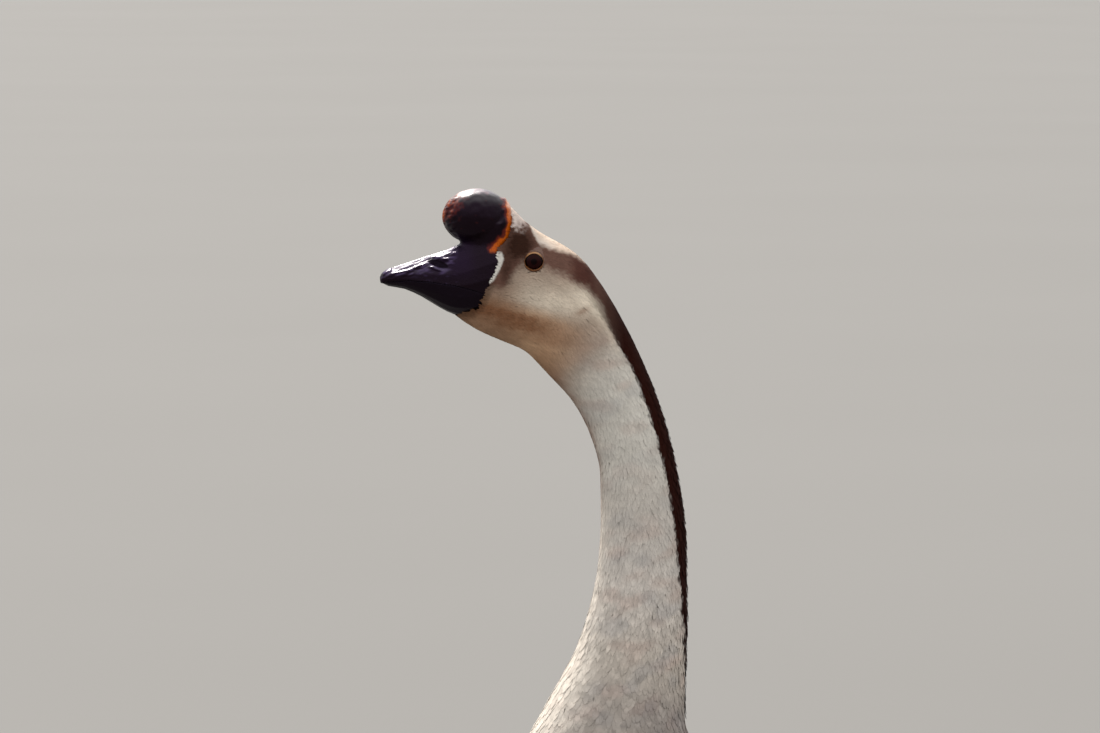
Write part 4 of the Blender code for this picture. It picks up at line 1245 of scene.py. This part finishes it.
def hump(front, rise, at_front, at_rise, long, high, tilt):
    """How far inside an oval patch on the bill's side: 1 at its middle, 0 at its edge, less outside."""
    slope = math.radians(tilt)
    u = (front - at_front) * math.cos(slope) - (rise - at_rise) * math.sin(slope)
    v = (front - at_front) * math.sin(slope) + (rise - at_rise) * math.cos(slope)
    return 1 - np.sqrt((u / long) ** 2 + (v / high) ** 2)


def speckle(points, size):
    """Irregular blotches about this far apart, from about -1 to 1. Three sizes stretch them."""
    return np.array([noise.noise(Vector(point)) for point in (points / size).tolist()]) * 1.6


bill = melted("bill_upper_and_knob", ("bill_upper", "knob"), HORN_VOXEL, HORN_IRONING)
points = points_of(bill)
clear = np.array([tuple(vert.co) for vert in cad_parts["knob"].data.vertices])
clear = clear[(gap_to(clear, ("bill_upper",), 0.01) > 0.003) & (gap_to(clear, ("head",), 0.02) > 0.008)]
oval = np.stack(in_head(clear), axis=1)
fitted = np.linalg.lstsq(np.c_[oval**2, oval], np.ones(len(oval)), rcond=None)[0]
oval_middle = -fitted[3:] / (2 * fitted[:3])
oval_radii = np.sqrt((1 + (fitted[:3] * oval_middle**2).sum()) / fitted[:3])
off = np.stack(in_head(points), axis=1) - oval_middle
reach = np.linalg.norm(off / oval_radii, axis=1)
rounder = ramp(np.abs(reach - 1), 0.10, 0.05) * ramp(gap_to(points, ("bill_upper",), 0.01), 0.002, 0.007)
rounder *= ramp(gap_to(points, ("head",), 0.02), 0.005, 0.011)
points += (0.99 * off / reach[:, None] - off) @ HEAD_AXES * rounder[:, None]
move_points(bill, points)
near_knob, near_bill = gap_to(points, ("knob",)), gap_to(points, ("bill_upper",))
front, aside, rise = in_head(points)
saddle = ramp(near_knob, 0.0045, 0.0010) * ramp(near_bill, 0.0045, 0.0010)
flank = ramp(near_knob, 0.0100, 0.0030) * ramp(near_bill, 0.0100, 0.0030) * ramp(front, 0.053, 0.046)
ironed(bill, 14, saddle, shrinking=True)
ironed(bill, 130, flank, shrinking=True)
points, normals = points_of(bill), normals_of(bill)
front, aside, rise = in_head(points)
TIP_FRONT = front.max()
side_on = ramp(np.abs(aside), 0.0018, 0.0040)
hollow = hump(front, rise, NOSTRIL_FRONT, NOSTRIL_RISE + 0.0002, 0.0130, 0.0048, -18)
slit = hump(front, rise, NOSTRIL_FRONT, NOSTRIL_RISE, *NOSTRIL_SLIT)
lip = hump(front, rise, NOSTRIL_FRONT + 0.0014, NOSTRIL_RISE - 0.0034, 0.0060, 0.0015, -18)
ridge = hump(front, rise, NOSTRIL_FRONT - 0.0010, NOSTRIL_RISE + 0.0040, 0.0110, 0.0016, -16)
move = (-0.0005 * ramp(hollow, 0, 0.6) - 0.0006 * ramp(slit, 0, 0.42) + 0.0006 * ramp(lip, 0, 0.7)
        + 0.0005 * ramp(ridge, 0, 0.7)) * side_on
on_bill = (gap_to(points, ("knob",)) > 0.0045) & (normals[:, 2] > -0.5)
slopes = []
for place in np.arange(0.046, TIP_FRONT - 0.001, 0.002):
    here = on_bill & (np.abs(front - place) < 0.0015)
    top, low = np.percentile(rise[here], (99.5, 1))
    drop = min(np.interp(place, (0.052, 0.066, 0.078, 0.090, TIP_FRONT - 0.004),
                         (0.0032, 0.0036, 0.0052, 0.0048, 0.0030)),
               0.5 * (top - low))
    foot = here & (np.abs(top - rise - drop) < 0.0009)
    slopes.append((place, top, drop, np.abs(aside[foot]).mean()))
top_line, drop, foot = (np.interp(front, *np.array(slopes)[:, (0, k)].T) for k in (1, 2, 3))
below_top = top_line - rise
ahead = (ramp(front, 0.053, 0.062) * ramp(front, TIP_FRONT - 0.003, TIP_FRONT - 0.010)
         * ramp(near_knob, 0.002, 0.006))
level = (np.clip(drop * np.abs(aside) / foot - below_top, 0, 0.002) * ahead
         * ramp(np.abs(aside), 0.0004, 0.0026))
move += 0.00032 * np.exp(-((below_top - drop) / 0.0008) ** 2) * ahead * side_on
wrinkled = (ramp(below_top, 0.0120, 0.0060) * ramp(front, 0.050, 0.056)
            * ramp(front, TIP_FRONT - 0.010, TIP_FRONT - 0.020))
in_head_axes = np.stack([front, aside, rise + 0.30 * front], axis=1)
move += wrinkled * side_on * (0.00042 * speckle(in_head_axes, (0.0075, 0.0060, 0.0020))
                              + 0.00016 * speckle(in_head_axes, (0.0030, 0.0030, 0.0012)))
move += (0.00026 * speckle(in_head_axes, (0.0032, 0.0032, 0.0018))
         * ramp(front, TIP_FRONT - 0.016, TIP_FRONT - 0.008))
nail = ramp(front, TIP_FRONT - 0.0085, TIP_FRONT - 0.0070) * ramp(np.abs(aside), 0.0052, 0.0040)
nail_groove = (band(front, TIP_FRONT - 0.0094, TIP_FRONT - 0.0086, 0.0006)
               * ramp(np.abs(aside), 0.0060, 0.0040))
move += 0.00035 * nail - 0.00040 * nail_groove
gape_gap = gap_to(points, ("bill_lower",), 0.01)
comb = np.sin(front * 2 * math.pi / COMB_PITCH) * ramp(gape_gap, 0.0016, 0.0004) * ramp(front, 0.045, 0.055)
move += 0.00010 * comb - 0.00045 * ramp(front, TIP_FRONT - 0.003, TIP_FRONT)
on_knob = ramp(near_knob, 0.0030, 0.0006)
move += on_knob * (0.00016 * speckle(points, 0.0042) + 0.00022 * speckle(points, 0.0120))
points = points + normals * move[:, None]
hook = ramp(front, TIP_FRONT - 0.0065, TIP_FRONT)
points[:, 2] -= 0.0012 * hook + 0.88 * level
move_points(bill, points)

HORN_BLACK = linear(12, 4, 3)
HORN_PAINTED_VIOLET = linear(24, 9, 34)
HORN_ORANGE = linear(205, 96, 10)
HORN_PALE = linear(232, 186, 160)
HORN_RED = linear(104, 36, 20)
HORN_PAINTED_SHEEN = linear(92, 76, 118)
HORN_PAINTED_HIGHLIGHT = linear(176, 164, 176)


def horn_tones(points, normals):
    """Black, with painted sheen and highlights above, orange knob flecks and rim, painted shade in nostril
    and gape.
    """
    front, aside, rise = in_head(points)
    rim_gap = gap_to(points, ("head",), 0.012)
    tones = np.tile(HORN_BLACK, (len(points), 1))
    # painted reflection: violet painted along the upper side of the bill, where the sheen shows
    painted_violet = ramp(rise, -0.016, 0.000) * ramp(front, 0.036, 0.048) * ramp(rise, 0.020, 0.010)
    tones = blended(tones, painted_violet * 0.7, HORN_PAINTED_VIOLET)
    # painted highlight: a paler violet sheen painted on the bill's faces that look up
    painted_sheen = (ramp(normals[:, 2] + 0.30 * speckle(points, (0.0050, 0.0050, 0.0016)), 0.20, 0.75)
             * ramp(front, 0.050, 0.056))
    tones = blended(tones, painted_sheen * ramp(rise, 0.014, 0.009) * 0.50, HORN_PAINTED_SHEEN)
    slit = hump(front, rise, NOSTRIL_FRONT, NOSTRIL_RISE, *NOSTRIL_SLIT)
    # painted shade: the nostril slit painted near black as the dark inside the hollow
    tones = blended(tones, ramp(slit, -0.05, 0.2) * 0.95, linear(5, 2, 4))
    # painted shade along the upper bill's edge at the gape; the lower bill, all within this reach, takes it
    # as its own near-black
    tones = blended(tones, ramp(gap_to(points, ("bill_lower",), 0.01), 0.0016, 0.0006) * 0.9, linear(4, 2, 2))
    on_knob = ramp(gap_to(points, ("knob",), 0.01), 0.0030, 0.0004)
    flecks = speckle(points, 0.0060) * 0.6 + speckle(points, 0.0026) * 0.6
    knob_front, _, knob_rise = (in_head(points) - oval_middle[:, None]) / oval_radii[:, None]
    brow = ramp(0.80 * knob_front + 0.42 * knob_rise, 0.22, 0.92)
    crest = ramp(knob_rise - 0.04 * knob_front, 0.66, 1.00)
    # red and orange flecks, gathered on the knob's front and top where the lamp falls: the knob's own flecks,
    # strengthened there as painted sunlight
    tones = blended(tones, on_knob * ramp(flecks + 2.2 * brow + 1.1 * crest, 0.65, 2.2) * 0.85, HORN_RED)
    tones = blended(tones, on_knob * ramp(flecks + 2.3 * brow + 0.4 * crest, 1.60, 3.1) * 0.72, HORN_ORANGE)
    # painted highlight: the knob's top painted pale where the lamp's gloss falls
    tones = blended(tones, on_knob * ramp(flecks * 0.30 + crest * 1.5, 0.35, 1.5) * 0.36, HORN_PAINTED_HIGHLIGHT)
    uneven = 0.0013 * speckle(points, 0.0045) + 0.0006 * speckle(points, 0.0016)
    wide = BAND_WIDTH + 0.0016 * ramp(rise, 0.022, 0.038)
    high_up = ramp(rise, 0.0045, 0.0080)
    tones = blended(tones, high_up * ramp(rim_gap + uneven, wide + 0.0030, wide) * 0.9, HORN_RED)
    tones = blended(tones, high_up * ramp(rim_gap + uneven, wide + 0.0002, wide - 0.0014), HORN_ORANGE)
    pale = high_up * ramp(rise, 0.026, 0.038) * ramp(rim_gap + uneven, wide - 0.0005, wide - 0.003) * 0.75
    return blended(tones, pale, HORN_PALE)


glossy_horn = Finish("glossy_horn", roughness=0.3, specular_ior_level=0.17,
                     specular_tint=(0.82, 0.56, 0.92, 1),
                     coat_roughness=0.42, coat_ior=1.5)
horn_tone = glossy_horn.attribute("tone", "Color")
pitted = glossy_horn.noise(1500, 3)
waxy, dull, _ = glossy_horn.apart(glossy_horn.attribute("sheen"))
glossy_horn.set(base_color=glossy_horn.mixed(glossy_horn.between(pitted, 0.35, 0.75) * 0.4, horn_tone,
                                             (0.006, 0.003, 0.006)),
                roughness=glossy_horn.noise(260, 4) * 0.20 + dull * 0.14 + 0.12, coat_weight=waxy)
glossy_horn.bump(glossy_horn.noise(420, 4) * 0.6 + pitted * 0.4, 0.00035, 0.7)
in_nostril = ramp(hump(front, rise, NOSTRIL_FRONT, NOSTRIL_RISE, *NOSTRIL_SLIT), -0.05, 0.15)
tinted(bill, "tone", horn_tones(points_of(bill), normals_of(bill)))
at_gape = ramp(gape_gap, 0.0016, 0.0006)
upward = normals_of(bill)[:, 2]
waxed = (np.maximum(on_knob * ramp(upward, 0.30, 0.95), 0.7 * ahead * ramp(upward, 0.25, 0.75))
         * (1 - np.clip(in_nostril, 0, 1)))
noted(bill, "sheen", waxed, 0.4 + 0.4 * on_knob + 4 * in_nostril + 2 * at_gape)
finished(bill, "bill_black", glossy_horn, "bill_upper", "knob")

jaw = melted("bill_lower_sheath", ("bill_lower",), HORN_VOXEL, HORN_IRONING)
points, normals = points_of(jaw), normals_of(jaw)
front, aside, rise = in_head(points)
gape_gap = gap_to(points, ("bill_upper",), 0.01)
teeth = (np.sin(front * 2 * math.pi / COMB_PITCH + 1.6) * ramp(gape_gap, 0.0024, 0.0005)
         * ramp(front, 0.045, 0.060))
fork = (band(np.abs(aside), 0.0042, 0.0050, 0.0008) * ramp(front, 0.095, 0.085)
        * ramp(normals[:, 2], -0.5, -0.8))
closed = 0.00032 * ramp(gape_gap, 0.0016, 0.0006) * ramp(normals[:, 2], 0.0, 0.6)
points = points + normals * (0.00012 * teeth - 0.0004 * fork + closed)[:, None]
move_points(jaw, points)
tinted(jaw, "tone", horn_tones(points, normals_of(jaw)))
noted(jaw, "sheen", np.zeros(len(points)), 0.7 + 2 * ramp(gape_gap, 0.0016, 0.0006))
finished(jaw, "bill_black", glossy_horn, "bill_lower")

# --- Eyes and lids ----------------------------------------------------------------------------------------
# A dark brown eye, almost black and glossy, that bulges at the cornea. Bare orange lids ring it, granular
# and a little thicker above, and their rims slope down under the face feathers.

EYE_RADIUS = (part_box("eye_left")[1].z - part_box("eye_left")[0].z) / 2
CORNEA_RISE = 0.00045
PUPIL_SPAN = 15.0  # degrees from the middle of the eye
OPENING = (0.00590, 0.00530)  # half the opening's length and height
LID_OUTER = (0.00665, 0.00635)
LID_LIFT = 0.0003  # how much thicker the lid is above
LID_STEPS = 72
LID_PROFILE = ((-0.35, -0.0004), (-0.12, 0.0001), (0.0, 0.00035), (0.16, 0.00055), (0.38, 0.0006),
               (0.62, 0.0005), (0.85, 0.0003), (1.0, 0.0001))  # share of the way out, height over the ball
LID_SKIRT = ((0.0005, 0.0003), (0.0012, 0.0009), (0.0022, 0.0014), (0.0034, 0.0020), (0.0044, 0.0028))
LID_BROWN = linear(116, 70, 30)
LID_PALE = linear(190, 142, 92)
LID_RIM = linear(70, 34, 14)
LID_EDGE = linear(84, 56, 40)

eye_finish = Finish("eye", roughness=0.05, specular_ior_level=0.06)
gaze, _, _ = eye_finish.apart(eye_finish.attribute("gaze"))
grain = eye_finish.noise(700, 3)
iris = eye_finish.mixed(grain, (0.012, 0.0016, 0.0020), (0.020, 0.0030, 0.0026))
iris = eye_finish.mixed(eye_finish.between(gaze, 34, 42), iris, (0.004, 0.001, 0.001))
eye_finish.set(base_color=eye_finish.mixed(eye_finish.between(gaze, PUPIL_SPAN - 1.5, PUPIL_SPAN + 1.5),
                                           (0.004, 0.0008, 0.0010), iris))

lid_skin = Finish("lid_skin", roughness=0.5, specular_ior_level=0.45, subsurface_weight=0.1,
                  subsurface_scale=0.001)
lid_grain = lid_skin.noise(1400, 3)
lid_tone = lid_skin.attribute("tone", "Color")
lid_skin.set(base_color=lid_skin.mixed(lid_skin.between(lid_grain, 0.35, 0.7) * 0.5, lid_tone,
                                       (0.16, 0.05, 0.008)))
lid_skin.bump(lid_grain, 0.0003, 0.8)


def oval_reach(around, half_long, half_high):
    """How far an oval's edge is from its middle, at these angles."""
    return 1 / np.sqrt((np.cos(around) / half_long) ** 2 + (np.sin(around) / half_high) ** 2)


for side in SIDES:
    centre = np.array(middle(f"eye_{side}"))
    outward = HEAD_AXES[1] if side == "left" else -HEAD_AXES[1]
    bpy.ops.object.select_all(action="DESELECT")
    bpy.ops.mesh.primitive_uv_sphere_add(segments=64, ring_count=40, radius=EYE_RADIUS)
    eye = bpy.context.object
    eye.name = f"eyeball_{side}"
    ball = points_of(eye)
    span = np.degrees(np.arccos(np.clip(ball[:, 2] / EYE_RADIUS, -1, 1)))
    ball *= (1 + CORNEA_RISE / EYE_RADIUS * ramp(span, 52, 12))[:, None]
    turn = np.array((HEAD_AXES[0], HEAD_AXES[2], outward))
    if side == "right":
        turn[0] *= -1
    move_points(eye, ball @ turn + centre)
    noted(eye, "gaze", span)
    finished(eye, "eye_dark", eye_finish, f"eye_{side}")

    around = np.linspace(0, 2 * math.pi, LID_STEPS, endpoint=False)
    spoke = np.cos(around)[:, None] * HEAD_AXES[0] + np.sin(around)[:, None] * HEAD_AXES[2]
    inner = oval_reach(around, *OPENING)
    inner *= 1 + 0.06 * np.cos(around) ** 8
    outer = oval_reach(around, *LID_OUTER) + LID_LIFT * np.sin(around)
    beyond = centre + spoke * (outer + 0.0022)[:, None] + outward * 0.004
    ground, _, _, _ = on_form(beyond)
    ground_out = (ground - centre) @ outward
    rows = []
    for share, lift in LID_PROFILE:
        reach = inner + (outer - inner) * share
        on_ball = np.sqrt(np.maximum(EYE_RADIUS**2 - reach**2, 0.0))
        settled = np.clip(share, 0, 1) ** 1.5
        level = on_ball * (1 - settled) + ground_out * settled
        rows.append((reach, np.maximum(level, on_ball) + lift))
    for extra, drop in LID_SKIRT:
        under = centre + spoke * (outer + extra)[:, None] + outward * 0.004
        rows.append((outer + extra, (on_form(under)[0] - centre) @ outward - drop))
    lid_points = np.concatenate([centre + spoke * reach[:, None] + outward * level[:, None]
                                 for reach, level in rows])
    faces = []
    for start in range(0, (len(rows) - 1) * LID_STEPS, LID_STEPS):
        for k, after in zip(range(LID_STEPS), [*range(1, LID_STEPS), 0]):
            faces.append((start + k, start + after, start + LID_STEPS + after, start + LID_STEPS + k))
    if side == "left":
        faces = [face[::-1] for face in faces]
    mesh = bpy.data.meshes.new(f"lids_{side}")
    mesh.from_pydata(lid_points.tolist(), [], faces)
    lids = placed(f"lids_{side}", mesh)
    shaped(lids, "SUBSURF", levels=2, render_levels=2)
    folds = points_of(lids)
    off = folds - centre
    reach = np.linalg.norm(off - (off @ outward)[:, None] * outward, axis=1)
    turn_at = np.arctan2(off[:, 2], off @ HEAD_AXES[0])
    crease = np.sin((reach - 0.0050) * 2 * math.pi / 0.00065 + 0.5 * np.sin(turn_at * 5))
    move_points(lids, folds + normals_of(lids) * (0.00007 * crease)[:, None])
    tones = np.tile(LID_BROWN, (len(folds), 1))
    tones = blended(tones, ramp(off[:, 2], 0.002, 0.0055) * 0.8, LID_PALE)
    tones = blended(tones, ramp(reach, 0.0058, 0.0053), LID_RIM)
    tones = blended(tones, ramp(reach, 0.0062, 0.0067), LID_EDGE)
    tones = blended(tones, ramp(reach, 0.0067, 0.0073), markings_and_painted_light(Places(folds)))
    tinted(lids, "tone", tones)
    finished(lids, "leg_orange", lid_skin)

# --- Floor, lights and camera -----------------------------------------------------------------------------
# A wide pale studio floor, one soft sun-like lamp high behind the bird's breast that rims its front and
# crown, helped there by painted highlight in the coat's colours, and an even sky for the shaded side. The
# camera looks a little down at the head from the bird's left.

CAMERA_TURN = math.radians(-22)
CAMERA_RISE = math.radians(5)
CAMERA_DISTANCE = 4.0
VIEW_WIDTH = 0.7430  # what the view takes in at the head
AIM_RIGHT, AIM_DOWN = 0.0108, 0.0713  # the middle of the view from the left eye
SENSOR = 36.0
LAMP_STRENGTH, LAMP_SPREAD = 5.2, math.radians(9)
LAMP_WARMTH = (1.0, 0.95, 0.89)
LAMP_PLACE = (-0.24, 0.77, -0.58)  # to the right of the view, up and toward the camera
SKY_STRENGTH = 1.26
FLOOR_SIZE = 160

bpy.ops.mesh.primitive_plane_add(size=FLOOR_SIZE)
floor = bpy.context.object
floor.name = "floor"
paper = Finish("paper", roughness=0.9)
paper.set(base_color=paper.mixed(paper.noise(0.6, 2), (0.140, 0.136, 0.128), (0.152, 0.148, 0.140)))
floor.data.materials.append(paper.material)

toward = Vector((math.sin(CAMERA_TURN) * math.cos(CAMERA_RISE),
                 -math.cos(CAMERA_TURN) * math.cos(CAMERA_RISE),
                 math.sin(CAMERA_RISE)))
rightward = Vector((math.cos(CAMERA_TURN), math.sin(CAMERA_TURN), 0))
upward = toward.cross(rightward)
camera_data = bpy.data.cameras.new("camera")
camera = placed("camera", camera_data)
camera.matrix_world = Matrix((rightward, upward, toward)).transposed().to_4x4()
camera.location = middle("eye_left") + rightward * AIM_RIGHT - upward * AIM_DOWN + toward * CAMERA_DISTANCE
camera_data.sensor_width = SENSOR
camera_data.lens = SENSOR * CAMERA_DISTANCE / VIEW_WIDTH
camera_data.clip_end = 300
bpy.context.scene.camera = camera

key = bpy.data.lights.new("key", "SUN")
key.energy, key.angle, key.color = LAMP_STRENGTH, LAMP_SPREAD, LAMP_WARMTH
key_lamp = placed("key", key)
lamp_way = rightward * LAMP_PLACE[0] + upward * LAMP_PLACE[1] + toward * LAMP_PLACE[2]
key_lamp.rotation_euler = lamp_way.to_track_quat("Z", "Y").to_euler()
world = bpy.data.worlds.new("studio")
world.use_nodes = True
sky = world.node_tree
direction = sky.nodes.new("ShaderNodeTexCoord")
heights = sky.nodes.new("ShaderNodeSeparateXYZ")
shades = sky.nodes.new("ShaderNodeValToRGB")
sky.links.new(direction.outputs["Generated"], heights.inputs[0])
sky.links.new(heights.outputs["Z"], shades.inputs[0])
sky.links.new(shades.outputs[0], sky.nodes["Background"].inputs["Color"])
for end, (place, tone) in zip(shades.color_ramp.elements, ((0.0, 0.36), (0.55, 1.0))):
    end.position, end.color = place, (tone * 0.985, tone * 0.99, tone, 1)
sky.nodes["Background"].inputs["Strength"].default_value = SKY_STRENGTH
bpy.context.scene.world = world
bpy.context.scene.view_settings.view_transform = "Standard"

# --- Taking the guide away --------------------------------------------------------------------------------
# The guide surface goes.

bpy.data.objects.remove(form)
